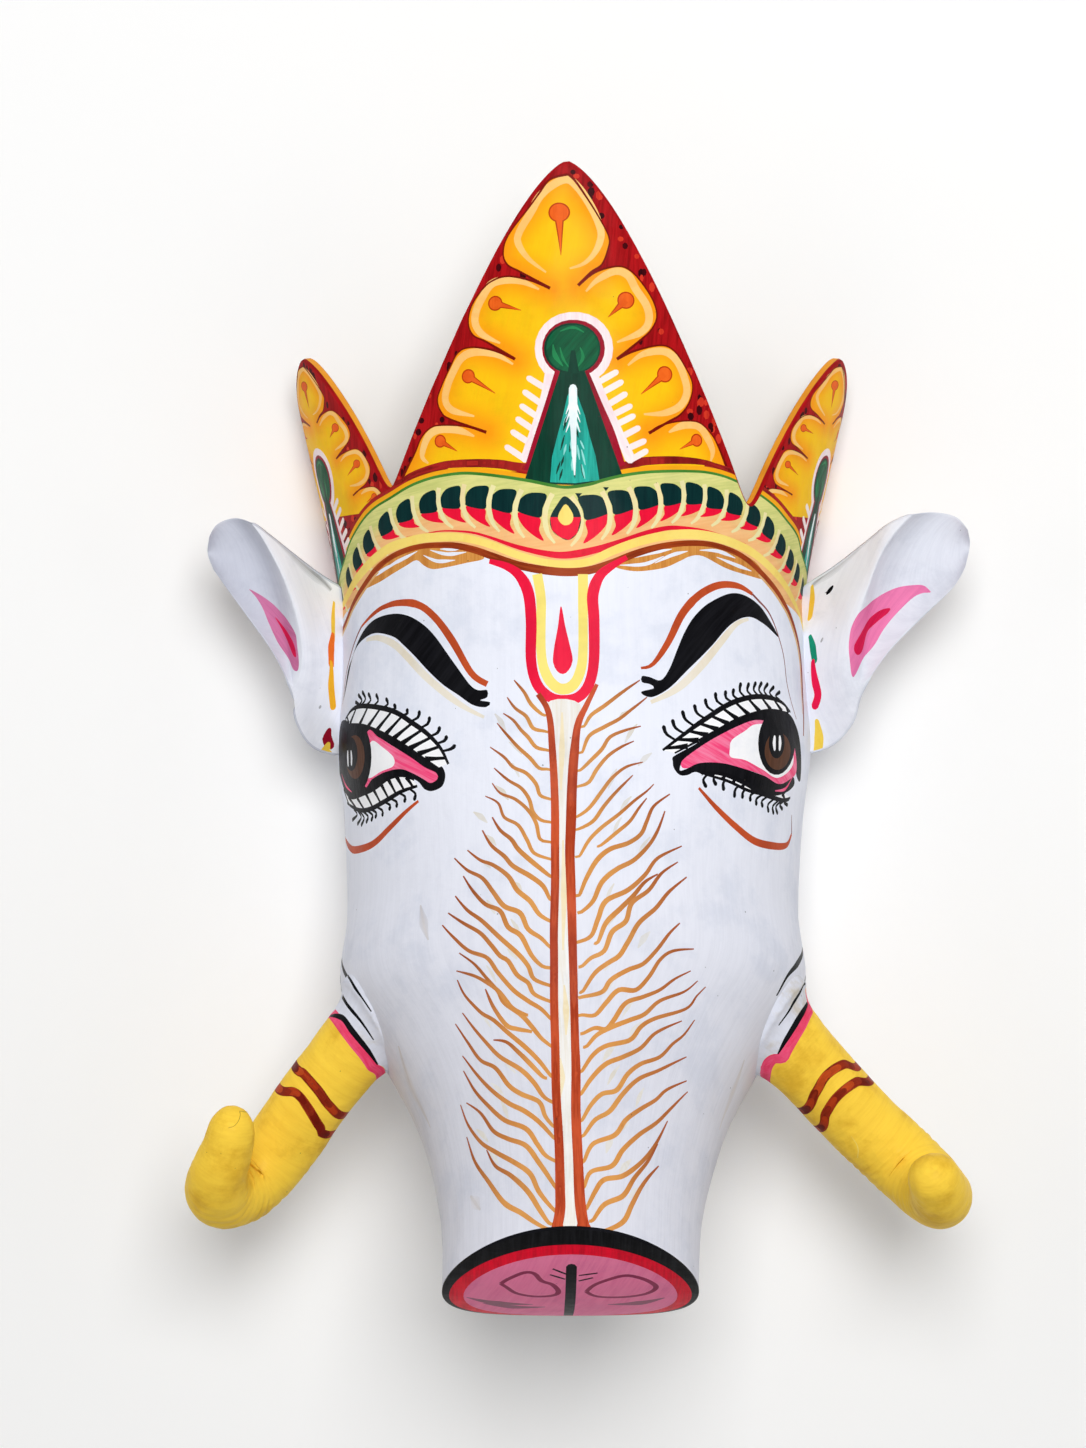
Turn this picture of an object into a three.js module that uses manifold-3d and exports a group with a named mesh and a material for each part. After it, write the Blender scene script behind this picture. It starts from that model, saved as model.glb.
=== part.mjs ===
// A papier-mache boar mask with a three-leaved crown, two ears and two tusks.
// Millimetres, +Z up. The mask lies on the flat rim of its open back, looking up at +Z,
// with the crown towards +Y and the snout towards -Y. Its origin is the middle of its
// outline, at the level of the rim.
import * as THREE from "three";
import { mergeVertices } from "three/addons/utils/BufferGeometryUtils.js";
import Module from "manifold-3d";

const wasm = await Module();
wasm.setup();

// Driving sizes.
const WALL = 4.5;
const GAP = 0.3;
const MIDDLE_X = -3.4;
const CROWN_START_Y = 44;
const CROWN_TIP_Y = 190.8;
const CROWN_FLARE = 0.25;
const CROWN_LEAN = 0.16;
const CROWN_EASE = 12;
const LEAF_CURVE = 1.464;
const FRONT_LEAF_SPREAD = 2.33;
const FRONT_LEAF_SHIFT = -2;
const SIDE_LEAF_SPREAD = 2.7;
const SIDE_LEAF_TIP_Y = 130;
const SIDE_LEAF_TURN = 74;
const SIDE_LEAF_MM_PER_DEGREE = 1.46;
const NOTCH_ROUNDING = 5;
const BACK_EDGE_Y = 68;
const NOSE_DOME = 1.2;
const EYE_MOUND = { x: 63, y: -6, halfWidth: 17, halfHeight: 15, rise: 3 };
const CUT_SIZE = 600;
const CUT_EDGE = 0.02;

// The form is a row of round sections from the nose plate up to the brow. Each gives its
// middle (y, z), its tilt in degrees, its half width, its height above and its depth below
// the middle, how square it is, how far its sides bow forward, and its sideways lean.
const SECTIONS = [
  { y: -171.4, z: 128.4, tilt: 28, half: 40.8, above: 40.8, below: 40.8, square: 2.0, bow: 6.4, lean: -1.1 },
  { y: -153, z: 112, tilt: 27, half: 42.6, above: 47, below: 44, square: 2.05, bow: 2.5, lean: -0.6 },
  { y: -131, z: 90, tilt: 25, half: 50.5, above: 56, below: 52, square: 2.1, bow: 0, lean: 0 },
  { y: -111, z: 69, tilt: 22, half: 63, above: 67, below: 62, square: 2.15, bow: 0, lean: 0.3 },
  { y: -90, z: 49, tilt: 17.5, half: 78.5, above: 80, below: 66, square: 2.2, bow: 0, lean: 0.4 },
  { y: -62, z: 32, tilt: 12, half: 77.5, above: 88, below: 66, square: 2.2, bow: 0, lean: 0.4 },
  { y: -30, z: 21, tilt: 6, half: 79.5, above: 89, below: 66, square: 2.2, bow: 0, lean: 0.8 },
  { y: 4, z: 16, tilt: 1.5, half: 82, above: 88.5, below: 66, square: 2.15, bow: 0, lean: 1.1 },
  { y: 44, z: 14, tilt: 0, half: 81.2, above: 88, below: 66, square: 2.1, bow: 0, lean: 0.2 },
];
const BROW = SECTIONS.length - 1;

const radians = THREE.MathUtils.degToRad;

// Catmull-Rom value of one named size at a place between the sections.
function sizeAt(name, place) {
  const last = SECTIONS.length - 1;
  const from = Math.min(Math.floor(Math.max(place, 0)), last - 1);
  const t = place - from;
  const value = (i) => SECTIONS[Math.min(Math.max(i, 0), last)][name];
  const [a, b, c, d] = [value(from - 1), value(from), value(from + 1), value(from + 2)];
  return b + 0.5 * t * (c - a + t * (2 * a - 5 * b + 4 * c - d + t * (3 * (b - c) + d - a)));
}

function sectionAt(place) {
  const at = {};
  for (const name of Object.keys(SECTIONS[0])) {
    at[name] = sizeAt(name, place);
  }
  at.up = new THREE.Vector3(0, Math.sin(radians(at.tilt)), Math.cos(radians(at.tilt)));
  at.out = new THREE.Vector3(0, -at.up.z, at.up.y);
  at.middle = new THREE.Vector3(at.lean, at.y, at.z);
  return at;
}

// Sideways and upward shares of a section's outline; turn is in degrees from the crest.
function outlineAt(turn, square) {
  const sine = Math.sin(radians(turn));
  const cosine = Math.cos(radians(turn));
  const power = 2 / square;
  return {
    side: Math.sign(sine) * Math.abs(sine) ** power,
    rise: Math.sign(cosine) * Math.abs(cosine) ** power,
  };
}

// Height of the crown's upper edge over the turn: one front leaf and two side leaves.
function crownEdge(turn) {
  const brow = SECTIONS[BROW];
  const away = outlineAt(turn, brow.square).side * brow.half - FRONT_LEAF_SHIFT;
  const front = CROWN_TIP_Y - (Math.abs(away) / FRONT_LEAF_SPREAD) ** LEAF_CURVE;
  const round = Math.abs(Math.abs(turn) - SIDE_LEAF_TURN) * SIDE_LEAF_MM_PER_DEGREE;
  const side = SIDE_LEAF_TIP_Y - (round / SIDE_LEAF_SPREAD) ** LEAF_CURVE;
  const softest = (a, b) => Math.max(a, b) + NOTCH_ROUNDING * Math.log1p(Math.exp(-Math.abs(a - b) / NOTCH_ROUNDING));
  return Math.max(Math.abs(turn) > 90 ? side : softest(front, side), BACK_EDGE_Y);
}

// A point of the outer face: place runs over the sections, and on to BROW + 1 at the edge.
function facePoint(turn, place, edge = crownEdge(turn)) {
  const at = sectionAt(Math.min(place, BROW));
  const { side, rise } = outlineAt(turn, at.square);
  const height = rise > 0 ? at.above : at.below;
  const point = at.middle.clone();
  point.x += side * at.half;
  point.addScaledVector(at.up, rise * height);
  point.addScaledVector(at.out, at.bow * (1 - rise * rise));
  if (place > BROW) {
    const over = (place - BROW) * (edge - CROWN_START_Y);
    const eased = (over * over) / (over + CROWN_EASE);
    point.y += over;
    point.x += CROWN_FLARE * eased * Math.sign(side) * Math.abs(side) ** 5;
    point.z -= CROWN_LEAN * eased;
  }
  const across = (Math.abs(point.x) - EYE_MOUND.x) / EYE_MOUND.halfWidth;
  const along = (point.y - EYE_MOUND.y) / EYE_MOUND.halfHeight;
  const outward = new THREE.Vector3(side, 0, Math.max(rise, 0)).normalize();
  point.addScaledVector(outward, EYE_MOUND.rise * Math.exp(-across * across - along * along));
  return point;
}

function faceNormal(turn, place) {
  const edge = crownEdge(turn);
  const step = 0.01;
  const round = facePoint(turn + 0.3, place, edge).sub(facePoint(turn - 0.3, place, edge));
  const low = Math.max(place - step, 0);
  const high = Math.min(place + step, BROW + 1);
  const along = facePoint(turn, high, edge).sub(facePoint(turn, low, edge));
  return round.cross(along).normalize();
}

// The domed, slightly bent nose plate; share runs from its middle to its edge.
function platePoint(turn, place, share, depth) {
  const at = sectionAt(place);
  const rim = facePoint(turn, place);
  const radius = (at.above - depth) / at.above;
  const point = at.middle.clone().lerp(rim, share * radius);
  const { rise } = outlineAt(turn, at.square);
  const flat = at.bow * share * radius * (1 - rise * rise);
  const bowed = at.bow * (1 - (share * radius * rise) ** 2);
  return point.addScaledVector(at.out, bowed - flat + NOSE_DOME * (1 - share * share));
}

// Joins rows of points, each a closed ring, into a skin; flip turns the faces round.
function skin(rows, faces, flip) {
  const count = rows[0].length;
  for (let r = 0; r + 1 < rows.length; r += 1) {
    for (let c = 0; c < count; c += 1) {
      const next = (c + 1) % count;
      const [a, b, d, e] = [rows[r][c], rows[r][next], rows[r + 1][c], rows[r + 1][next]];
      const pair = flip ? [a, d, b, b, d, e] : [a, b, d, b, e, d];
      faces.push(...pair);
    }
  }
}

function fan(ring, tip, faces, flip) {
  ring.forEach((point, c) => {
    const next = ring[(c + 1) % ring.length];
    faces.push(...(flip ? [tip, next, point] : [tip, point, next]));
  });
}

function solidFrom(points, faces) {
  const geometry = new THREE.BufferGeometry();
  geometry.setAttribute("position", new THREE.Float32BufferAttribute(points.flatMap((p) => [p.x, p.y, p.z]), 3));
  geometry.setIndex(faces);
  return toSolid(geometry);
}

function toSolid(source) {
  const bare = source.clone();
  bare.deleteAttribute("normal");
  bare.deleteAttribute("uv");
  const merged = mergeVertices(bare, 1e-4);
  return new wasm.Manifold(new wasm.Mesh({
    numProp: 3,
    vertProperties: new Float32Array(merged.attributes.position.array),
    triVerts: new Uint32Array(merged.index.array),
  }));
}

// The finished geometry, with the hair-fine edges that a cut leaves closed up.
function toGeometry(solid) {
  const mesh = solid.getMesh();
  const cut = new THREE.BufferGeometry();
  cut.setAttribute("position", new THREE.BufferAttribute(mesh.vertProperties, 3));
  cut.setIndex(new THREE.BufferAttribute(mesh.triVerts, 1));
  const geometry = mergeVertices(cut, CUT_EDGE);
  const corners = Array.from(geometry.index.array);
  const kept = [];
  for (let i = 0; i < corners.length; i += 3) {
    const [a, b, c] = corners.slice(i, i + 3);
    if (a !== b && b !== c && c !== a) {
      kept.push(a, b, c);
    }
  }
  geometry.setIndex(kept);
  geometry.computeVertexNormals();
  return geometry;
}

// Columns are close over the face and crown and wide apart under the jaw.
function columnTurns() {
  const turns = [];
  for (let turn = -110; turn <= 110; turn += 4) {
    turns.push(turn);
  }
  for (let turn = 123; turn < 240; turn += 14) {
    turns.push(turn);
  }
  return turns.map((turn) => (turn > 180 ? turn - 360 : turn));
}

function rowPlaces(first) {
  const places = [];
  for (let i = 0; i < 17; i += 1) {
    places.push(first + (BROW - first) * (i / 17));
  }
  for (let i = 0; i <= 8; i += 1) {
    places.push(BROW + i / 8);
  }
  return places;
}

// The moulded sheet: outer face, inner face one wall behind it, crown edge and nose plate.
function maskShell() {
  const turns = columnTurns();
  const points = [];
  const faces = [];
  const keep = (point) => points.push(point) - 1;
  const inside = (turn, place) => facePoint(turn, place).addScaledVector(faceNormal(turn, place), -WALL);
  const innerStart = WALL / 24.6;
  const outer = rowPlaces(0).map((place) => turns.map((turn) => keep(facePoint(turn, place))));
  const inner = rowPlaces(innerStart).map((place) => turns.map((turn) => keep(inside(turn, place))));
  skin(outer, faces, false);
  skin(inner, faces, true);
  skin([outer.at(-1), inner.at(-1)], faces, false);
  const shares = [0.66, 0.33];
  const plate = shares.map((share) => turns.map((turn) => keep(platePoint(turn, 0, share, 0))));
  skin([outer[0], ...plate], faces, true);
  fan(plate.at(-1), keep(platePoint(0, 0, 0, 0)), faces, true);
  const back = shares.map((share) => turns.map((turn) => keep(platePoint(turn, innerStart, share, WALL))));
  skin([inner[0], ...back], faces, false);
  fan(back.at(-1), keep(platePoint(0, innerStart, 0, WALL)), faces, false);
  return solidFrom(points, faces).subtract(belowTheRim());
}

function belowTheRim() {
  const box = new THREE.BoxGeometry(CUT_SIZE, CUT_SIZE, CUT_SIZE);
  box.translate(0, 0, -CUT_SIZE / 2);
  return toSolid(box);
}

// The head as a full body, a little larger all round, to trim what is glued to it.
function headForm(grow) {
  const turns = columnTurns();
  const points = [];
  const faces = [];
  const keep = (point) => points.push(point) - 1;
  const top = 84;
  const rows = rowPlaces(0).map((place) =>
    turns.map((turn) => keep(facePoint(turn, place, top).addScaledVector(faceNormal(turn, place), grow))));
  skin(rows, faces, false);
  fan(rows[0], keep(sectionAt(0).middle), faces, true);
  fan(rows.at(-1), keep(new THREE.Vector3(0, top, 0)), faces, false);
  return solidFrom(points, faces);
}

// Each ear is a cupped sheet between an upper and a lower edge, both run from root to tip.
const EAR_SHEET = 7;
const EAR_ROOT_Z = 32;
const EAR_FOLD_RISE = 17;
const EAR_CUP_DEPTH = 12;
const EAR_TIP_RISE = 6;
const EAR_ROOT_DEPTH = 14;
const FOLD_RANK = 0.45;
const EARS = {
  ear_left: {
    upper: [[-70, 46], [-86, 55.5], [-95, 62.3], [-103, 68.5], [-109, 72.5], [-115, 74], [-121, 71.5], [-124.6, 65]],
    lower: [[-70, -9], [-88, -5.4], [-93.4, 3], [-95, 13.5], [-101, 26.5], [-110, 39.5], [-118.6, 51.4],
      [-124.3, 59.5]],
  },
  ear_right: {
    upper: [[71, 46], [89.5, 57.8], [101.4, 67.1], [108.3, 72.5], [116, 75.4], [124, 76], [131.5, 73.8], [136.4, 67.5]],
    lower: [[71, -9], [88, -5], [95, 2.5], [98.5, 13.8], [107.2, 27.1], [119.5, 40], [130.8, 51.4], [135.9, 61]],
  },
};

function curveThrough(pairs) {
  return new THREE.CatmullRomCurve3(pairs.map(([x, y]) => new THREE.Vector3(x, y, 0)));
}

// The fold that stands up between the ear's neck and its cup, as a share of the length.
function foldPlace(across) {
  return 0.6 - 1.35 * across + 1.25 * across * across;
}

// A place on the ear's face; rank runs from the root over the fold (at FOLD_RANK) to the tip.
function earPoint(top, bottom, rank, across) {
  const fold = foldPlace(across);
  const neck = Math.min(rank / FOLD_RANK, 1);
  const cup = Math.max((rank - FOLD_RANK) / (1 - FOLD_RANK), 0);
  const along = fold * neck + (1 - fold) * cup;
  const point = top.getPoint(along).lerp(bottom.getPoint(along), across);
  const hollow = Math.sin((Math.PI / 2) * Math.min(cup * 1.6, 1));
  const brim = (2 * across - 1) ** 2 * Math.sqrt(cup);
  const rise = EAR_FOLD_RISE * Math.sin((Math.PI / 2) * neck) - EAR_CUP_DEPTH * hollow * (1 - 0.5 * brim);
  point.z = EAR_ROOT_Z + rise + EAR_TIP_RISE * cup * cup;
  return point;
}

// Closes the end of a thin sheet, whose ring runs out over its face and back under it.
function closeSheetEnd(ring, faces, flip) {
  const last = ring.length - 1;
  for (let c = 0; c < (last - 1) / 2; c += 1) {
    const [a, b, d, e] = [ring[c], ring[c + 1], ring[last - c], ring[last - c - 1]];
    const pair = flip ? [a, e, b, a, d, e] : [a, b, e, a, e, d];
    faces.push(...pair);
  }
}

function earSolid({ upper, lower }) {
  const top = curveThrough(upper);
  const bottom = curveThrough(lower);
  const points = [];
  const faces = [];
  const keep = (point) => points.push(point) - 1;
  const lengthSteps = 14;
  const widthSteps = 8;
  const rows = [];
  for (let i = 0; i <= lengthSteps; i += 1) {
    const rank = i / lengthSteps;
    const ring = [];
    for (let j = 0; j <= widthSteps; j += 1) {
      ring.push(earPoint(top, bottom, rank, j / widthSteps));
    }
    for (let j = widthSteps; j >= 0; j -= 1) {
      const under = ring[j].clone();
      const rim = (2 * (j / widthSteps) - 1) ** 4;
      const root = Math.max(1 - rank / FOLD_RANK, 0) ** 2;
      under.z -= EAR_SHEET * (1 - 0.4 * rim) * (1 - 0.25 * rank) + EAR_ROOT_DEPTH * root * (1 - rim);
      ring.push(under);
    }
    rows.push(ring.map(keep));
  }
  const flip = upper[0][0] < 0;
  skin(rows, faces, flip);
  closeSheetEnd(rows[0], faces, !flip);
  closeSheetEnd(rows.at(-1), faces, flip);
  return solidFrom(points, faces);
}

// Each tusk is a round horn along a curve that ends turned up; width is its half thickness.
const TUSKS = {
  tusk_left: {
    path: [[-58, -84, 74], [-73, -104, 69], [-86, -121, 65.5], [-101.3, -142.5, 61.5], [-110, -150.8, 65],
      [-116.8, -152.5, 76], [-117, -145.5, 87.5], [-113, -134.5, 93.5], [-110.5, -121, 96]],
    tip: 8.2,
  },
  tusk_right: {
    path: [[58, -86, 74], [77, -108, 69], [98, -131, 63], [114, -146, 64], [121.5, -153, 78], [120, -149, 93],
      [115, -139, 105]],
    tip: 9,
  },
};
const TUSK_ROOT_RADIUS = 12.6;
const TUSK_BEND_RADIUS = 13.2;

function tuskRadius(along, tip) {
  const body = THREE.MathUtils.lerp(TUSK_ROOT_RADIUS, TUSK_BEND_RADIUS, Math.min(along / 0.6, 1));
  const narrowing = THREE.MathUtils.smoothstep(along, 0.6, 1);
  const rounding = Math.sqrt(Math.max(1 - Math.max((along - 0.93) / 0.07, 0) ** 2, 0.06));
  return THREE.MathUtils.lerp(body, tip, narrowing) * rounding;
}

function tuskSolid({ path, tip }) {
  const curve = new THREE.CatmullRomCurve3(path.map((p) => new THREE.Vector3(...p)));
  const steps = 26;
  const sides = 16;
  const frames = curve.computeFrenetFrames(steps, false);
  const points = [];
  const faces = [];
  const keep = (point) => points.push(point) - 1;
  const rows = [];
  for (let i = 0; i <= steps; i += 1) {
    const along = i / steps;
    const middle = curve.getPointAt(along);
    const radius = tuskRadius(along, tip);
    const ring = [];
    for (let j = 0; j < sides; j += 1) {
      const turn = (2 * Math.PI * j) / sides;
      const point = middle.clone().addScaledVector(frames.normals[i], radius * Math.cos(turn));
      ring.push(keep(point.addScaledVector(frames.binormals[i], radius * Math.sin(turn))));
    }
    rows.push(ring);
  }
  skin(rows, faces, false);
  fan(rows[0], keep(curve.getPointAt(0)), faces, true);
  fan(rows.at(-1), keep(curve.getPointAt(1)), faces, false);
  return solidFrom(points, faces);
}

function piece(name, solid, colour, roughness) {
  const material = new THREE.MeshStandardMaterial({ color: colour, roughness, metalness: 0 });
  const mesh = new THREE.Mesh(toGeometry(solid), material);
  mesh.name = name;
  return mesh;
}

const mask = new THREE.Group();
mask.position.x = MIDDLE_X;
mask.add(piece("mask_shell", maskShell(), 0xe4e6f2, 0.55));
const trim = headForm(GAP);
for (const [name, shape] of Object.entries(EARS)) {
  mask.add(piece(name, earSolid(shape).subtract(trim), 0xe6e7f0, 0.55));
}
for (const [name, shape] of Object.entries(TUSKS)) {
  mask.add(piece(name, tuskSolid(shape).subtract(trim), 0xf4cf2b, 0.5));
}

export default mask;
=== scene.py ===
import math
import random
from functools import partial

import bpy
import numpy as np
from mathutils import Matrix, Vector
from mathutils.bvhtree import BVHTree
from mathutils.geometry import barycentric_transform, delaunay_2d_cdt


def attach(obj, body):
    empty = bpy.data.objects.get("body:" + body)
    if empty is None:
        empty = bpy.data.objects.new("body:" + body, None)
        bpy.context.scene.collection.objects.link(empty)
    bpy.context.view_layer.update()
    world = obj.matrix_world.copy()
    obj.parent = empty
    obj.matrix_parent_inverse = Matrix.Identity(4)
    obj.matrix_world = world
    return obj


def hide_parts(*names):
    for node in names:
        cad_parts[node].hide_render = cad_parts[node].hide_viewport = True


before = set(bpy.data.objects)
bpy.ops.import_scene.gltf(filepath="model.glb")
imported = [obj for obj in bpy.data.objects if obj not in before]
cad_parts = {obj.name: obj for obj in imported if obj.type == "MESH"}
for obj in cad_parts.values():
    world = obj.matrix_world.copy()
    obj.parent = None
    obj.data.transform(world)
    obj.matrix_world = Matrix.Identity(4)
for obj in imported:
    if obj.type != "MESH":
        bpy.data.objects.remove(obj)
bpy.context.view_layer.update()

# The photographer's station: straight above the lying mask, a little to the left of its
# middle line, as the picture was taken. The picture is upright, 1086 by 1448.
MM = 0.001
MASK_MIDDLE_X = -3.4
STATION = (-13.2, 3.6, 1280.0)
LENS_MM = 90.0
LONG_SIDE_SENSOR_MM = 36.0
PICTURE_LONG_SIDE = 1448
PICTURE_MIDDLE = (543, 724)
camera_data = bpy.data.cameras.new("station")
camera_data.lens = LENS_MM
camera_data.sensor_width = LONG_SIDE_SENSOR_MM
camera_data.sensor_fit = "AUTO"
camera_data.clip_end = 20
camera = bpy.data.objects.new("station", camera_data)
camera.location = [value * MM for value in STATION]
bpy.context.collection.objects.link(camera)
bpy.context.scene.camera = camera

# Soft studio light: a wide sheet of light overhead, a large panel on each side and a white
# room round a plain white table top.
bpy.context.scene.view_settings.view_transform = "Standard"
world = bpy.data.worlds.new("studio")
world.use_nodes = True
world.node_tree.nodes["Background"].inputs["Color"].default_value = (1, 1, 1, 1)
world.node_tree.nodes["Background"].inputs["Strength"].default_value = 0.30
bpy.context.scene.world = world
for panel_name, place, size, watts in (
    ("overhead", (0.1, 0.5, 1.65), 0.8, 19.5),
    ("left_panel", (-1.3, 0.1, 0.9), 0.8, 2.0),
    ("right_panel", (1.3, -0.1, 0.9), 0.8, 2.0),
):
    panel_data = bpy.data.lights.new(panel_name, "AREA")
    panel_data.size = size
    panel_data.energy = watts
    panel = bpy.data.objects.new(panel_name, panel_data)
    panel.location = place
    panel.rotation_euler = Vector(place).to_track_quat("Z", "Y").to_euler()
    bpy.context.collection.objects.link(panel)

bpy.ops.mesh.primitive_plane_add(size=8, location=(0, 0, -0.0002))
floor = bpy.context.object
floor.name = "table_top"
floor_paint = bpy.data.materials.new("table_top")
floor_paint.use_nodes = True
floor_shader = floor_paint.node_tree.nodes["Principled BSDF"]
floor_shader.inputs["Base Color"].default_value = (0.99, 0.99, 0.985, 1)
floor_shader.inputs["Roughness"].default_value = 0.8
floor.data.materials.append(floor_paint)

# The mask's form: a shell of paper layers moulded over a boar's head, from the flat nose up
# to the brow, and on into a crown of three leaves. Each round section of the head gives its
# middle, tilt, half width, height and depth, squareness, forward bow and sideways lean.
SECTIONS = {
    "y": (-171.4, -153, -131, -111, -90, -62, -30, 4, 44),
    "z": (128.4, 112, 90, 69, 49, 32, 21, 16, 14),
    "tilt": (28, 27, 25, 22, 17.5, 12, 6, 1.5, 0),
    "half": (40.8, 42.6, 50.5, 63, 78.5, 77.5, 79.5, 82, 81.2),
    "above": (40.8, 47, 56, 67, 80, 88, 89, 88.5, 88),
    "below": (40.8, 44, 52, 62, 66, 66, 66, 66, 66),
    "square": (2.0, 2.05, 2.1, 2.15, 2.2, 2.2, 2.2, 2.15, 2.1),
    "bow": (6.4, 2.5, 0, 0, 0, 0, 0, 0, 0),
    "lean": (-1.1, -0.6, 0, 0.3, 0.4, 0.4, 0.8, 1.1, 0.2),
}
BROW = 8
SECTION_RUN = 25.0
BROW_RUN = BROW * SECTION_RUN
CROWN_START_Y = 44
CROWN_TIP_Y = 190.8
CROWN_FLARE = 0.25
CROWN_LEAN = 0.16
CROWN_EASE = 12
LEAF_CURVE = 1.464
FRONT_LEAF_SPREAD = 2.33
FRONT_LEAF_SHIFT = -2
SIDE_LEAF_SPREAD = 2.7
SIDE_LEAF_TIP_Y = 130
SIDE_LEAF_TURN = 74
SIDE_LEAF_MM_PER_DEGREE = 1.46
NOTCH_ROUNDING = 5
BACK_EDGE_Y = 68
MOUND_X, MOUND_Y = 63, -6
MOUND_HALF_WIDTH, MOUND_HALF_HEIGHT = 17, 15
MOUND_RISE = 3
WALL = 4.5
NOSE_RADIUS = 40.8
NOSE_DOME = 1.2
ROUND_MM = 1.45


def size_at(name, place):
    values = np.array(SECTIONS[name], float)
    start = np.clip(np.floor(place), 0, BROW - 1).astype(int)
    t = place - start
    before, first, second, after = (values[np.clip(start + i, 0, BROW)] for i in (-1, 0, 1, 2))
    bend = 2 * before - 5 * first + 4 * second - after
    return first + 0.5 * t * (second - before + t * (bend + t * (3 * (first - second) + after - before)))


def outline_at(turn, square):
    sine, cosine = np.sin(np.radians(turn)), np.cos(np.radians(turn))
    power = 2 / square
    return np.sign(sine) * np.abs(sine) ** power, np.sign(cosine) * np.abs(cosine) ** power


# A spot on the face: its turn in degrees from the crest, and its run in millimetres from the
# nose to the brow and on up the crown.
def face_points(turn, run):
    turn, run = np.broadcast_arrays(np.asarray(turn, float), np.asarray(run, float))
    place = np.minimum(run / SECTION_RUN, BROW)
    side, rise = outline_at(turn, size_at("square", place))
    height = rise * np.where(rise > 0, size_at("above", place), size_at("below", place))
    tilt = np.radians(size_at("tilt", place))
    bow = size_at("bow", place) * (1 - rise * rise)
    over = np.maximum(run - BROW_RUN, 0)
    eased = over * over / (over + CROWN_EASE)
    x = size_at("lean", place) + side * size_at("half", place)
    x = x + CROWN_FLARE * eased * np.sign(side) * np.abs(side) ** 5
    y = size_at("y", place) + np.sin(tilt) * height - np.cos(tilt) * bow + over
    z = size_at("z", place) + np.cos(tilt) * height + np.sin(tilt) * bow - CROWN_LEAN * eased
    off_middle, off_height = (np.abs(x) - MOUND_X) / MOUND_HALF_WIDTH, (y - MOUND_Y) / MOUND_HALF_HEIGHT
    mound = np.exp(-off_middle ** 2 - off_height ** 2)
    out = np.stack([side, 0 * side, np.maximum(rise, 0)], -1)
    out = out / np.linalg.norm(out, axis=-1, keepdims=True)
    return np.stack([x, y, z], -1) + MOUND_RISE * mound[..., None] * out


def face_normals(turn, run):
    round_way = face_points(turn + 0.3, run) - face_points(turn - 0.3, run)
    up_way = face_points(turn, run + 0.4) - face_points(turn, run - 0.4)
    normal = np.cross(round_way, up_way)
    return normal / np.linalg.norm(normal, axis=-1, keepdims=True)


def crown_edge(turn):
    side, _ = outline_at(turn, SECTIONS["square"][BROW])
    away = np.abs(side * SECTIONS["half"][BROW] - FRONT_LEAF_SHIFT)
    front = CROWN_TIP_Y - (away / FRONT_LEAF_SPREAD) ** LEAF_CURVE
    round_way = np.abs(np.abs(turn) - SIDE_LEAF_TURN) * SIDE_LEAF_MM_PER_DEGREE
    leaf = SIDE_LEAF_TIP_Y - (round_way / SIDE_LEAF_SPREAD) ** LEAF_CURVE
    rounding = np.log1p(np.exp(-np.abs(front - leaf) / NOTCH_ROUNDING))
    soft = np.maximum(front, leaf) + NOTCH_ROUNDING * rounding
    edge = np.maximum(np.where(np.abs(turn) > 90, leaf, soft), BACK_EDGE_Y)
    return edge - CROWN_START_Y + BROW_RUN


# The finished pieces are drawn a few hundredths of a millimetre small, inside their plan.
SNUG = 0.9996


def in_metres(points):
    return (np.asarray(points, float) + [MASK_MIDDLE_X, 0, 0]) * MM * SNUG


# The mask is painted on flat patterns of its pieces. The shell's pattern is as wide as the
# way round the head and as long as its run. A spot in the picture is carried to a pattern
# along the line of sight; one that falls beside the piece is brought in toward its middle.
FOCUS = LENS_MM / LONG_SIDE_SENSOR_MM * PICTURE_LONG_SIDE
EYE_POINT = Vector((STATION[0] - MASK_MIDDLE_X, STATION[1], STATION[2]))
FACE_MIDDLE = (565, 780)


def on_shell(spots):
    return face_points(spots[:, 0] / ROUND_MM, spots[:, 1])


def sheet_over(place, first_way, second_way):
    pattern = np.stack(np.meshgrid(first_way, second_way), -1).reshape(-1, 2)
    points = place(pattern)
    columns = len(first_way)
    faces = []
    for row in range(len(second_way) - 1):
        for corner in range(row * columns, (row + 1) * columns - 1):
            faces.append((corner, corner + 1, corner + columns))
            faces.append((corner + 1, corner + columns + 1, corner + columns))
    return BVHTree.FromPolygons(points.tolist(), faces), points, pattern, faces


shell_sheet = sheet_over(on_shell, np.arange(-132, 132.1, 2.0) * ROUND_MM, np.arange(0, 361, 3.0))


def seen(picture_points, sheet=shell_sheet, middle=FACE_MIDDLE, steps=60):
    tree, points, pattern, faces = sheet
    spots = []
    for x, y in picture_points:
        away = math.dist((x, y), middle)
        step = ((middle[0] - x) / away, (middle[1] - y) / away)
        for _ in range(steps):
            sight = Vector(((x - PICTURE_MIDDLE[0]) / FOCUS, (PICTURE_MIDDLE[1] - y) / FOCUS, -1))
            hit, _, face, _ = tree.ray_cast(EYE_POINT, sight)
            if hit is not None:
                break
            x, y = x + step[0], y + step[1]
        if hit is None:
            continue
        corners = [Vector(points[i]) for i in faces[face]]
        flat = [Vector((*pattern[i], 0)) for i in faces[face]]
        spot = barycentric_transform(hit, *corners, *flat)
        spots.append((spot.x, spot.y))
    return np.array(spots)


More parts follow.
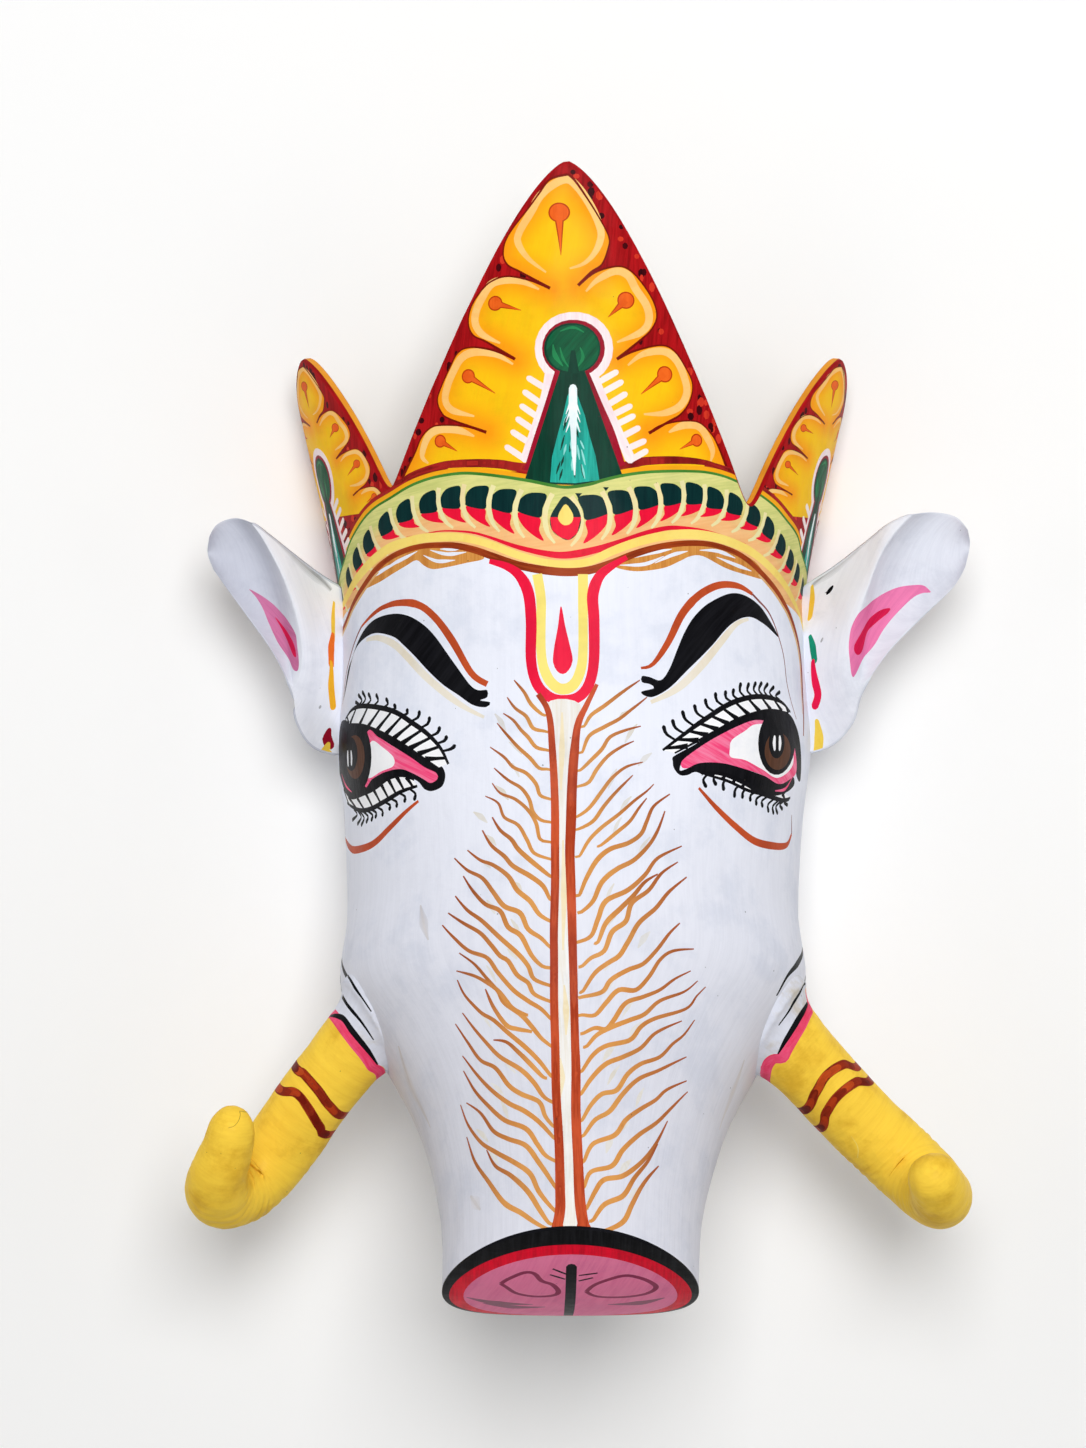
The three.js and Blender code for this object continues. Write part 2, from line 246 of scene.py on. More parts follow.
# How far one millimetre of a pattern is spread on its piece, across and along.
def spread_on(place):
    def spread_at(spots):
        across = place(spots + [0.5, 0]) - place(spots - [0.5, 0])
        along = place(spots + [0, 0.5]) - place(spots - [0, 0.5])
        return np.stack([np.linalg.norm(across, axis=1), np.linalg.norm(along, axis=1)], -1)

    return spread_at


def normals_on(place, spots, reach=0.5):
    across = place(spots + [reach, 0]) - place(spots - [reach, 0])
    along = place(spots + [0, reach]) - place(spots - [0, reach])
    normals = np.cross(across, along)
    return normals / np.maximum(np.linalg.norm(normals, axis=1, keepdims=True), 1e-9)


def smooth(points, step=1.2, closed=False):
    points = np.asarray(points, float)
    count = len(points)
    pieces = []
    for i in range(count if closed else count - 1):
        if closed:
            a, b, c, d = (points[(i + k) % count] for k in (-1, 0, 1, 2))
        else:
            a, b, c, d = (points[min(max(i + k, 0), count - 1)] for k in (-1, 0, 1, 2))
        steps = max(int(math.ceil(np.linalg.norm(c - b) / step)), 1)
        t = (np.arange(steps) / steps)[:, None]
        pieces.append(b + 0.5 * t * (c - a + t * (2 * a - 5 * b + 4 * c - d + t * (3 * (b - c) + d - a))))
    if not closed:
        pieces.append(points[-1:])
    return np.concatenate(pieces)


# A paint is its colour, the deeper colour in its streaks, how dull it dries and how streaky
# it is. Colours are written as a paint maker's screen codes.
def mix(code):
    parts = [int(code[i : i + 2], 16) / 255 for i in (1, 3, 5)]
    return [part / 12.92 if part <= 0.04045 else ((part + 0.055) / 1.055) ** 2.4 for part in parts]


def paint(light, deep, dull=0.5, streaks=0.5):
    return np.array([*mix(light), dull, *mix(deep), streaks])


face_pattern = []


# Fills a closed outline on the pattern. The fade gives, for any spots in it, how far its
# paint has turned into the second one.
def fill(outline, colour, fade=None, second=None, grain=(0.0, 1.0), onto=face_pattern):
    onto.append({"outline": np.asarray(outline, float), "colour": colour, "fade": fade,
                 "second": second, "line": None, "grain": grain})


# Draws one stroke of a brush along a line on the pattern; widths are in millimetres on the
# mask, and run evenly from its start to its end.
def brush(line, widths, colour, step=1.1, tips=(False, False), second=None, onto=face_pattern,
          spread_of=spread_on(on_shell)):
    line = smooth(line, step)
    spread = spread_of(line)
    stretched = line * 0
    stretched[1:-1] = (line[2:] - line[:-2]) * spread[1:-1]
    stretched[0] = (line[1] - line[0]) * spread[0]
    stretched[-1] = (line[-1] - line[-2]) * spread[-1]
    way = stretched / np.maximum(np.linalg.norm(stretched, axis=1, keepdims=True), 1e-9)
    across = np.stack([-way[:, 1], way[:, 0]], -1)
    strides = np.linalg.norm(np.diff(line, axis=0) * (spread[1:] + spread[:-1]) / 2, axis=1)
    along = np.concatenate([[0], np.cumsum(strides)])
    widths = np.atleast_1d(np.asarray(widths, float))
    half = np.interp(along / along[-1], np.linspace(0, 1, len(widths)), widths) / 2
    outline = [line + across * half[:, None] / spread]
    bow = np.array([0.6, 0.0, -0.6])[:, None]
    reach = np.array([0.75, 1.0, 0.75])[:, None]
    if tips[1]:
        outline.append(line[-1] + (across[-1] * bow + way[-1] * reach) * half[-1] / spread[-1])
    outline.append((line - across * half[:, None] / spread)[::-1])
    if tips[0]:
        outline.append(line[0] + (-across[0] * bow - way[0] * reach) * half[0] / spread[0])
    onto.append({"outline": np.concatenate(outline), "colour": colour, "fade": None,
                 "second": second, "line": (line, along), "grain": (0.0, 1.0)})


# The shell's ground coat is chalk white, painted greyer down the snout as painted shade, where
# the snout turns down and away from the light. Bare paper shows cream, and the cut edge of the
# crown is orange below its red front.
WHITE = paint("#eff2fd", "#dcdfec", 0.5, 0.2)
SNOUT_WHITE_PAINTED_SHADE = paint("#dddee8", "#c8c9d3", 0.5, 0.3)
GREYS_FROM = 175
GREYS_OVER = 120
CREAM = paint("#f3e6c8", "#d8c39a", 0.6, 0.5)
CROWN_EDGE_PAINT = paint("#f7a62c", "#d9781a", 0.5, 0.5)


# White above, turning down the snout to the greyer white that is painted shade.
def white_ground(spots):
    down_snout = np.clip((GREYS_FROM - spots[:, 1]) / GREYS_OVER, 0, 1)[:, None]
    return WHITE * (1 - down_snout) + SNOUT_WHITE_PAINTED_SHADE * down_snout


# An outline drawn in several strokes, and a round spot.
def in_pieces(*pieces):
    return np.concatenate([smooth(seen(piece)) for piece in pieces])


def round_spot(middle, half_wide, half_high, sides=26):
    turns = np.arange(sides) / sides * 2 * np.pi
    return np.asarray(middle) + np.stack([half_wide * np.cos(turns), half_high * np.sin(turns)], -1)


# The crown's paint: a dark red ground on every leaf, a scalloped yellow field edged with a
# thin dark line, and petals drawn on it in paler rings, each with an orange stamen.
DARK_RED = paint("#b5141a", "#7a070b", 0.42, 0.8)
DARK_DAB = paint("#4a060e", "#22040a", 0.4, 0.8)
RED_DAB = paint("#d93a26", "#b3231a", 0.4, 0.7)
THIN_RED = paint("#7c1209", "#560a06", 0.45, 0.4)
PETAL_EDGE = paint("#fd9a12", "#fda81c", 0.42, 0.4)
LEAF_YELLOW = paint("#fec814", "#fdb914", 0.42, 0.4)
PETAL_RING = paint("#ffcd7c", "#fdb75a", 0.42, 0.55)
STAMEN = paint("#f26a20", "#dd4c10", 0.42, 0.6)
STAMEN_RIM = paint("#c23c0c", "#9e2a08", 0.42, 0.4)
LEAF_LEFT_EDGE = (
    [(568, 174), (550, 179), (539, 193), (528, 208), (508, 235), (503, 252), (507, 264), (521, 272),
     (550, 288)],
    [(550, 288), (530, 280), (508, 276), (493, 280), (482, 289), (471, 306), (468, 323), (473, 335),
     (487, 342), (515, 359)],
    [(515, 359), (493, 350), (471, 347), (458, 352), (449, 368), (441, 386), (437, 400), (441, 412),
     (450, 419), (486, 432)],
    [(486, 432), (465, 426), (441, 425), (430, 428), (421, 438), (414, 454), (402, 478)],
)
LEAF_RIGHT_EDGE = (
    [(568, 174), (573, 178), (584, 193), (599, 217), (609, 237), (608, 249), (602, 264), (591, 272),
     (578, 285)],
    [(578, 285), (595, 272), (617, 266), (630, 270), (643, 284), (654, 302), (657, 317), (651, 330),
     (638, 342), (617, 359)],
    [(617, 359), (634, 351), (660, 345), (674, 350), (686, 367), (693, 384), (690, 401), (681, 414),
     (668, 422), (649, 433)],
    [(649, 433), (662, 425), (680, 421), (699, 422), (712, 434), (719, 447), (728, 470)],
)
PETAL_RINGS = (
    [(539, 289), (521, 281), (504, 280), (491, 284), (482, 297), (476, 310), (475, 323), (482, 334),
     (500, 343)],
    [(513, 364), (495, 354), (474, 352), (461, 358), (452, 373), (447, 386), (445, 400), (452, 410),
     (474, 416)],
    [(474, 436), (458, 430), (441, 429), (430, 434), (424, 445), (422, 457), (428, 463)],
    [(586, 291), (597, 280), (615, 271), (628, 275), (636, 289), (647, 306), (649, 321), (641, 332),
     (617, 342)],
    [(628, 365), (643, 354), (664, 351), (677, 360), (685, 378), (687, 393), (680, 406), (664, 413),
     (644, 414)],
    [(669, 432), (684, 425), (699, 426), (708, 438), (713, 451), (711, 461)],
    [(546, 272), (528, 258), (518, 243), (519, 232), (530, 213), (539, 197), (552, 185), (567, 179),
     (578, 187), (591, 206), (599, 224), (601, 237), (595, 252), (584, 263), (570, 268)],
)
STAMENS = (
    ((559, 212), (561, 255), 2.9),
    ((495, 303), (521, 310), 2.2),
    ((468, 376), (495, 393), 2.1),
    ((440, 441), (457, 451), 1.9),
    ((626, 300), (608, 317), 2.5),
    ((665, 374), (641, 394), 2.4),
    ((697, 440), (680, 449), 1.9),
)
leaf_ornament = []
leaf_brush = partial(brush, onto=leaf_ornament)
leaf_fill = partial(fill, onto=leaf_ornament)
left_edge, right_edge = in_pieces(*LEAF_LEFT_EDGE), in_pieces(*LEAF_RIGHT_EDGE)
leaf_field = np.concatenate([left_edge, right_edge[::-1]])


def toward_leaf_middle(spots):
    away = np.linalg.norm(spots[:, None] - leaf_field[None], axis=2).min(1)
    return (away - 1.5) / 7.5


leaf_fill(leaf_field, PETAL_EDGE, toward_leaf_middle, LEAF_YELLOW, grain=(0.2, 1.0))
for ring in PETAL_RINGS:
    leaf_brush(seen(ring), (0.6, 2.3, 2.7, 2.7, 2.7, 2.3, 0.6), PETAL_RING)
for piece in LEAF_LEFT_EDGE + LEAF_RIGHT_EDGE:
    leaf_brush(seen(piece), (0.9, 0.6, 0.5, 0.6, 1.1), THIN_RED)
for ball, tail, radius in STAMENS:
    radius = 1.16 * radius
    leaf_brush(seen([ball, tail]), (1.1 * radius, 0.55 * radius, 0.2), STAMEN_RIM)
    middle = seen([ball])[0]
    leaf_fill(round_spot(middle, radius, radius), STAMEN_RIM)
    leaf_fill(round_spot(middle, radius - 0.45, radius - 0.45), STAMEN)
    leaf_brush(seen([ball, tail]), (0.8 * radius, 0.3 * radius, 0.1), STAMEN)

# The finial on each leaf: a green ball on a dark green cone with a teal brushed tongue, set
# in a pink-white border whose short ticks run out over the yellow.
PINK_WHITE = paint("#fdf0f0", "#f6cfd8", 0.5, 0.6)
TICK_PINK = paint("#fff0ea", "#fbe0e2", 0.5, 0.5)
CONE_GREEN = paint("#06402f", "#03281d", 0.4, 0.6)
BALL_GREEN = paint("#08623c", "#05402a", 0.4, 0.8)
BALL_ARC = paint("#1f8a50", "#0f6a40", 0.4, 0.5)
CRIMSON = paint("#a80e2c", "#6e0a1c", 0.42, 0.7)
TEAL = paint("#25b8a6", "#0f8f80", 0.42, 0.9)
PALE_TEAL = paint("#9fe6df", "#5fcabd", 0.42, 0.5)
TONGUE_WHITE = paint("#f7fcfc", "#cfeeee", 0.42, 0.5)
FINIAL_BALL = (572, 346)
CONE_OUTLINE = [
    (560.6, 369), (584.2, 369), (596, 401), (607, 432), (623.6, 478), (603, 482), (575, 485), (551, 484),
    (524.8, 479), (536, 445), (548, 408)
]
LEFT_TICKS = (
    [(529, 378), (547, 389)], [(525, 392), (542, 404)], [(522, 406), (538, 417)], [(518, 419), (534, 430)],
    [(513, 432), (530, 443)], [(507, 447), (525, 459)],
)
RIGHT_TICKS = (
    [(616, 372), (598, 382)], [(621, 382), (603, 392)], [(625, 394), (607, 405)], [(630, 406), (612, 415)],
    [(633, 416), (615, 425)], [(638, 428), (621, 437)], [(644, 441), (626, 449)], [(646, 451), (632, 459)],
)
finial = []
finial_brush = partial(brush, onto=finial)
finial_fill = partial(fill, onto=finial)
finial_fill(round_spot(seen([(574, 348)])[0], 12.1, 12.2), PINK_WHITE)
for tick in LEFT_TICKS + RIGHT_TICKS:
    finial_brush(seen(tick), (2.0, 2.1, 2.0), TICK_PINK, tips=(True, False))
for edge, width in (([(550, 373), (545, 397), (534, 431), (525, 458)], 3.0),
                    ([(592, 373), (604, 401), (617, 428), (630, 458)], 3.6)):
    finial_brush(seen(edge), (3.4, 3.0, 2.8, width), PINK_WHITE, tips=(False, True))
finial_fill(round_spot(seen([(573.5, 348)])[0], 9.6, 9.6), CRIMSON)
finial_brush(seen([(558, 371), (547, 405), (536, 438), (526, 470)]), (2.0, 1.7, 1.6, 1.6), CRIMSON)
finial_brush(seen([(586, 371), (598, 402), (609, 430), (621, 466)]), (1.6, 2.4, 3.4, 3.2), CRIMSON)
finial_fill(seen(CONE_OUTLINE), CONE_GREEN)
finial_fill(round_spot(seen([(572, 348)])[0], 8.6, 8.5), CONE_GREEN)
finial_fill(round_spot(seen([(572.5, 348)])[0], 8.0, 7.9), BALL_GREEN, grain=(0.7, 1.0))
for arc, width in (
    ([(553, 344), (555, 355), (563, 366)], 1.8), ([(560, 347), (563, 358), (569, 367)], 0.9),
    ([(560, 331), (573, 327), (584, 332)], 1.0), ([(580, 347), (583, 357), (577, 367)], 1.2),
):
    finial_brush(seen(arc), (0.3, width, 0.3), BALL_ARC)
finial_fill(seen([(568, 372), (571, 350), (575, 350), (579, 372)]), CONE_GREEN)
TONGUE = [
    (573, 385), (578, 397), (584.8, 415), (589.7, 436), (595.7, 456), (599.4, 480), (575, 483),
    (550, 482), (552, 457), (557, 437), (563, 415), (567.5, 396)
]
finial_fill(seen(TONGUE), TEAL)
STREAKS = random.Random(4)
for number in range(26):
    height = STREAKS.uniform(0.18, 0.92)
    side = STREAKS.uniform(-1, 1)
    start = (572 + side * 17 * height, 388 + 88 * height)
    end = (start[0] + side * 5, start[1] + STREAKS.uniform(8, 16))
    finial_brush(seen([start, end]), (0.2, 0.8, 0.2), PALE_TEAL if number % 2 else CONE_GREEN)
finial_brush(seen([(573, 388), (573, 400), (573.5, 430), (574, 450), (574.5, 475)]),
             (2.8, 3.0, 1.9, 1.5, 0.4), TONGUE_WHITE, tips=(True, False))
for side in (-1, 1):
    for height in (400, 408, 418):
        finial_brush(seen([(573, height - 4), (573 + 7 * side, height + 14)]), (1.2, 0.2), TONGUE_WHITE)


# The side leaves carry the front leaf's ornament, painted smaller and turned round the crown,
# with a finial of their own. The red ground between the leaves is dabbed dark and light.
def laid_on(layer, place):
    moved = dict(layer, outline=place(layer["outline"]))
    if layer["line"] is not None:
        moved["line"] = (place(layer["line"][0]), layer["line"][1])
    if layer["fade"] is not None:
        moved["fade"] = lambda spots: (np.linalg.norm(
            spots[:, None] - moved["outline"][None], axis=2).min(1) - 1.0) / 5.0
    return moved


LEAF_DROP = CROWN_TIP_Y - CROWN_START_Y + BROW_RUN
SIDE_LEAF_DROP = SIDE_LEAF_TIP_Y - CROWN_START_Y + BROW_RUN
SIDE_LEAF_HEIGHT = 0.5356
SIDE_BALL = (110.0, 244.0)
FRONT_BALL = seen([FINIAL_BALL])[0]


def on_side_leaf(side):
    def place(spots):
        across, _ = outline_at(spots[:, 0] / ROUND_MM, SECTIONS["square"][BROW])
        across = across * SECTIONS["half"][BROW] - FRONT_LEAF_SHIFT
        round_way = across * SIDE_LEAF_SPREAD / FRONT_LEAF_SPREAD * SIDE_LEAF_HEIGHT ** (1 / LEAF_CURVE)
        turn = side * SIDE_LEAF_TURN + round_way / SIDE_LEAF_MM_PER_DEGREE
        drop = SIDE_LEAF_HEIGHT * (LEAF_DROP - spots[:, 1])
        return np.stack([turn * ROUND_MM, SIDE_LEAF_DROP - drop], -1)

    return place


def on_side_finial(side):
    return lambda spots: (spots - FRONT_BALL) * [0.82, 0.94] + [side * SIDE_BALL[0], SIDE_BALL[1]]


def inside(outline, spots):
    after = np.roll(outline, -1, axis=0)
    turns = np.zeros(len(spots), int)
    for (x0, y0), (x1, y1) in zip(outline, after):
        side = (x1 - x0) * (spots[:, 1] - y0) - (spots[:, 0] - x0) * (y1 - y0)
        turns += (y0 <= spots[:, 1]) & (y1 > spots[:, 1]) & (side > 0)
        turns -= (y0 > spots[:, 1]) & (y1 <= spots[:, 1]) & (side < 0)
    return turns != 0


crown_foot = seen([
    (400, 482), (408, 476), (423, 470), (446, 464.5), (476, 463), (500, 464), (521, 467), (573, 470),
    (624, 466), (645, 461), (680, 460), (708, 463), (728, 471)
])

# The band round the brow: a green ground that turns to peach below, with a row of dark and
# red drops on it, and red, yellow and brown lines along its foot that run down by the ears.
BAND_GREEN = paint("#e4e08e", "#c3cb74", 0.5, 0.8)
BAND_PEACH = paint("#fac386", "#f2ae6c", 0.5, 0.7)
BAND_PALE = paint("#eee6ac", "#f6cf98", 0.5, 0.4)
DROP_DARK = paint("#06292b", "#0e3a38", 0.4, 0.5)
DROP_RED = paint("#f3143a", "#dd0f34", 0.4, 0.5)
LINE_YELLOW = paint("#fde27a", "#f8cf5c", 0.45, 0.5)
LINE_RED = paint("#ee1c3a", "#c9122c", 0.42, 0.5)
LINE_BROWN = paint("#a8451b", "#7c2810", 0.45, 0.9)
LINE_GREEN = paint("#4c8f3a", "#2f6a1c", 0.45, 0.7)
FOOT_BROWN = paint("#b32824", "#5e0c10", 0.42, 0.9)
FOOT_ORANGE = paint("#fcb21c", "#f49a14", 0.42, 0.5)
BEHIND_LEFT = [(-168, 196), (-150, 199), (-134, 202)]
BEHIND_RIGHT = [(134, 202), (150, 199), (168, 196)]
BAND_TOP = [
    (338, 584), (343, 563), (350, 541), (361, 522), (374, 508), (391, 497), (409, 486), (427, 479),
    (445, 475), (465, 473), (492, 475), (526, 480), (551, 485), (568, 487), (590, 484), (603, 480),
    (624, 475), (646, 472), (667, 471), (689, 471), (706, 472), (724, 476), (741, 483), (758, 493),
    (775, 506), (787, 520), (798, 536), (803, 556), (808, 580)
]
BROWN_LINE = [
    (331, 741), (331, 700), (334, 665), (341, 635), (346, 620), (353, 603), (363, 586), (375, 570),
    (389, 558), (406, 550), (423, 546), (444, 545), (458, 546), (475, 550), (492, 556), (518, 565),
    (544, 570), (568, 572), (590, 570), (612, 563), (637, 553), (663, 546), (689, 543), (715, 545),
    (741, 555), (762, 573), (783, 600), (795, 627), (801, 656), (803, 685), (804, 712), (804, 736)
]
YELLOW_LINE = [
    (329, 700), (330, 665), (335, 640), (339, 622), (342, 606), (349, 591), (360, 574), (373, 560),
    (389, 548), (406, 542), (423, 538), (440, 537), (458, 537), (475, 540), (492, 545), (518, 555),
    (544, 562), (568, 564), (590, 561), (612, 551), (637, 542), (663, 536), (689, 534), (715, 537),
    (741, 546), (758, 556), (775, 572), (789, 591), (799, 611), (804, 632), (809, 655), (811, 680)
]
RED_LINE = [
    (406, 537), (423, 534), (440, 531), (458, 531), (475, 533), (492, 538), (518, 547), (544, 553),
    (566, 555), (594, 550), (620, 542), (646, 533), (667, 528), (684, 528), (706, 531), (727, 537),
    (746, 544)
]
LEFT_DROPS = [
    (531, 504), (502, 500), (476, 497), (450, 498), (427, 503), (403, 512), (384, 525), (367, 543),
    (356, 560), (348, 579), (341, 598)
]
RIGHT_DROPS = [
    (595, 506), (623, 501), (648, 497), (673, 494), (696, 494), (716, 499), (736, 505), (755, 516),
    (770, 529), (782, 546), (791, 561), (798, 574), (803, 588)
]
band_top = np.concatenate([BEHIND_LEFT, seen(BAND_TOP), BEHIND_RIGHT])
brown_line = seen(BROWN_LINE)
band_foot = np.concatenate([[(-168, 186), (-140, 188)], brown_line[5:-5], [(140, 188), (168, 186)]])
fill([(-190, 204), *band_top.tolist(), (190, 204), (190, 420), (-190, 420)], DARK_RED, grain=(0.1, 1.0))
DABS = random.Random(11)
fields = [leaf_field, on_side_leaf(-1)(leaf_field), on_side_leaf(1)(leaf_field)]
DAB_COUNT = 1100
DAB_FOOT = 218
dab_turns = np.array([DABS.uniform(-118, 118) for _ in range(DAB_COUNT)])
dab_heights = [DABS.uniform(0, 1) for _ in range(DAB_COUNT)]
dab_runs = DAB_FOOT + (crown_edge(dab_turns) - (DAB_FOOT + 2)) * dab_heights
dabs = np.stack([dab_turns * ROUND_MM, dab_runs], -1)
for field in fields:
    dabs = dabs[~inside(field, dabs)]
for number, middle in enumerate(dabs):
    reach = np.array([DABS.uniform(-1.1, 1.1), DABS.uniform(0.3, 1.8)])
    spot = round_spot(middle, DABS.uniform(0.6, 1.3), DABS.uniform(0.8, 1.8), 7)
    fill(spot, DARK_DAB if number % 3 else RED_DAB)
for side in (-1, 1):
    for layer in leaf_ornament:
        face_pattern.append(laid_on(layer, on_side_leaf(side)))
face_pattern.extend(leaf_ornament)
side_foot_left = np.concatenate([band_top[:12] + [0, 2.6], seen([(385, 487)])])
side_foot_right = np.concatenate([seen([(748, 482)]), band_top[-12:] + [0, 2.6]])
for foot in (side_foot_left, side_foot_right):
    brush(foot, (2.2, 1.7, 1.7, 1.7), FOOT_BROWN)
brush(crown_foot, (1.2, 2.6, 3.0, 3.0, 3.0, 2.6, 1.2), FOOT_BROWN)
brush(band_top[4:-4] + [0, 1.0], (1.2, 2.0, 1.6, 2.0, 2.0, 2.0, 1.6, 2.0, 1.2), FOOT_ORANGE)
for side in (-1, 1):
    for layer in finial:
        face_pattern.append(laid_on(layer, on_side_finial(side)))
face_pattern.extend(finial)


def down_the_band(spots):
    top = np.interp(spots[:, 0], band_top[:, 0], band_top[:, 1])
    foot = np.interp(spots[:, 0], band_foot[:, 0], band_foot[:, 1])
    return ((top - spots[:, 1]) / np.maximum(top - foot, 1) - 0.3) / 0.35


fill(np.concatenate([smooth(band_top), smooth(band_foot)[::-1]]), BAND_GREEN, down_the_band, BAND_PEACH,
     grain=(1.0, 0.15))
DROP_TOP = [
    (4.5, 3.7), (0.8, 4.0), (-2.0, 3.1), (-4.0, 0.8), (-4.1, -2.0), (-3.4, -3.2), (3.4, -4.0),
    (3.9, -0.8)
]
DROP_TAIL = [(-3.7, -3.2), (-2.4, -6.6), (1.4, -9.6), (5.8, -11.4), (3.9, -8.2), (3.4, -4.0)]
GAP_LINE = [(6.3, 4.4), (5.2, 1.0), (5.0, -3.5), (6.6, -8.5), (9.4, -11.6)]
for side, drops in ((1, seen(LEFT_DROPS)), (-1, seen(RIGHT_DROPS))):
    way = np.gradient(drops, axis=0) * -1
    way /= np.linalg.norm(way, axis=1, keepdims=True)
    for number, (middle, (along, up)) in enumerate(zip(drops, way)):
        size = 1.0 - 0.026 * number
        turn = np.array([[along, up], [-side * up, side * along]]) * size

        def in_place(points):
            return middle + np.asarray(points) @ turn

        brush(in_place(GAP_LINE), (1.7, 1.8, 1.7, 0.8), BAND_PALE)
        tail = np.array(DROP_TAIL)
        tail[:, 1] = -3.2 + (tail[:, 1] + 3.2) * max(1.0 - 0.08 * number, 0.6)
        fill(smooth(in_place(tail), 1.0, closed=True), DROP_RED)
        fill(smooth(in_place(DROP_TOP), 1.0, closed=True), DROP_DARK)
middle_drop = seen([
    (565, 496), (556, 506), (550, 518), (552, 530), (560, 537), (569, 540), (577, 533), (581, 520),
    (577, 507)
])
fill(smooth(middle_drop, 1.0, closed=True), BAND_PALE)
drop_half = seen([(550, 517), (552, 530), (560, 537), (569, 540), (577, 533), (581, 517)])
fill(smooth(middle_drop, 1.0, closed=True), DROP_DARK)
fill(drop_half, DROP_RED)
fill(smooth(seen([(566, 504), (560, 511), (558, 518), (562, 524), (567, 525), (572, 522), (573, 514)]), 1.0,
            closed=True), LINE_YELLOW)
for small in ([(575, 493), (582, 493), (578, 498)], [(603, 487), (609, 487), (606, 491)]):
    fill(seen(small), DROP_DARK)
for hair_edge in (
    [(612, 564), (634, 571), (663, 568), (680, 561), (691, 556), (703, 556), (724, 567), (741, 573),
     (765, 579), (758, 564), (741, 553), (715, 543), (689, 541), (663, 544), (637, 551)],
    [(363, 588), (377, 583), (393, 573), (405, 566), (416, 560), (423, 565), (432, 569), (447, 567),
     (465, 563), (484, 558), (475, 547), (458, 543), (444, 542), (423, 543), (406, 547), (389, 555),
     (372, 569)],
):
    fill(smooth(seen(hair_edge), 1.5, closed=True), paint("#dd9a4c", "#c47a34", 0.5, 0.9))
for strand in (
    [(632, 558), (650, 553), (672, 549)], [(620, 565), (645, 564), (664, 556)], [(655, 563), (672, 555),
                                                                                 (688, 551)],
    [(700, 550), (718, 551), (736, 558)], [(717, 557), (737, 565), (752, 571)], [(423, 555), (437, 561),
                                                                                 (455, 560)],
    [(430, 550), (447, 554), (466, 552)], [(398, 562), (384, 569), (372, 578)], [(440, 549), (452, 549),
                                                                                 (462, 548)],
    [(417, 551), (404, 558), (388, 566)],
):
    brush(seen(strand), (0.2, 1.1, 1.3, 0.2), WHITE)
SOFT_OCHRE = paint("#dfa868", "#eccfa0", 0.5, 0.8)
brush(brown_line[2:8] + [1.6, -0.5], (0.4, 1.6, 1.6, 1.0), SOFT_OCHRE)
brush(brown_line[-7:-1] - [1.6, 0.5], (1.0, 1.6, 1.6, 0.4), SOFT_OCHRE)
brush(seen(RED_LINE), (0.3, 0.5, 0.9, 1.7, 2.6, 1.9, 1.5, 1.0, 0.4), LINE_RED)
brush(seen(YELLOW_LINE), (1.4, 2.2, 2.8, 3.4, 3.2, 2.6, 2.4, 2.8, 3.2, 2.9, 2.6, 2.2, 1.4), LINE_YELLOW)
brush(brown_line, (1.4, 1.8, 1.8, 2.0, 2.0, 1.8, 2.4, 2.8, 2.6, 2.0, 1.8, 2.0, 2.0, 1.8, 1.0), LINE_BROWN)
brush(band_top, (0.9, 0.8, 0.8, 1.0, 1.1, 0.9, 0.8, 0.8, 0.9), LINE_GREEN)

# The mark on the brow: a red loop with a yellow one inside it, and a red drop between.
MARK_RED = paint("#f21a42", "#d80f34", 0.42, 0.5)
MARK_YELLOW = paint("#fbe87e", "#f6d868", 0.45, 0.4)
RED_LOOP = [
    (489, 561), (506, 566), (519, 575), (528, 592), (531, 620), (531, 660), (537, 684), (550, 697),
    (564, 700), (578, 697), (589, 684), (594, 660), (594, 620), (593, 594), (599, 577), (610, 567),
    (627, 557)
]
YELLOW_LOOP = [
    (537, 574), (541, 600), (541, 650), (546, 674), (555, 686), (564, 689), (573, 685), (580, 672),
    (583, 650), (583, 600), (583, 574)
]
BROW_DROP = [
    (561, 606), (565, 625), (570, 645), (573, 660), (569, 670), (563, 674), (557, 671), (553, 662),
    (554, 648), (558, 626)
]
brush(seen(YELLOW_LOOP), (3.3, 3.1, 3.1, 3.6, 3.1, 3.1, 3.3), MARK_YELLOW)
brush(seen(RED_LOOP), (1.6, 3.8, 3.6, 3.4, 3.4, 3.4, 3.6, 3.8, 1.6), MARK_RED)
fill(smooth(seen(BROW_DROP), 1.2, closed=True), MARK_RED)

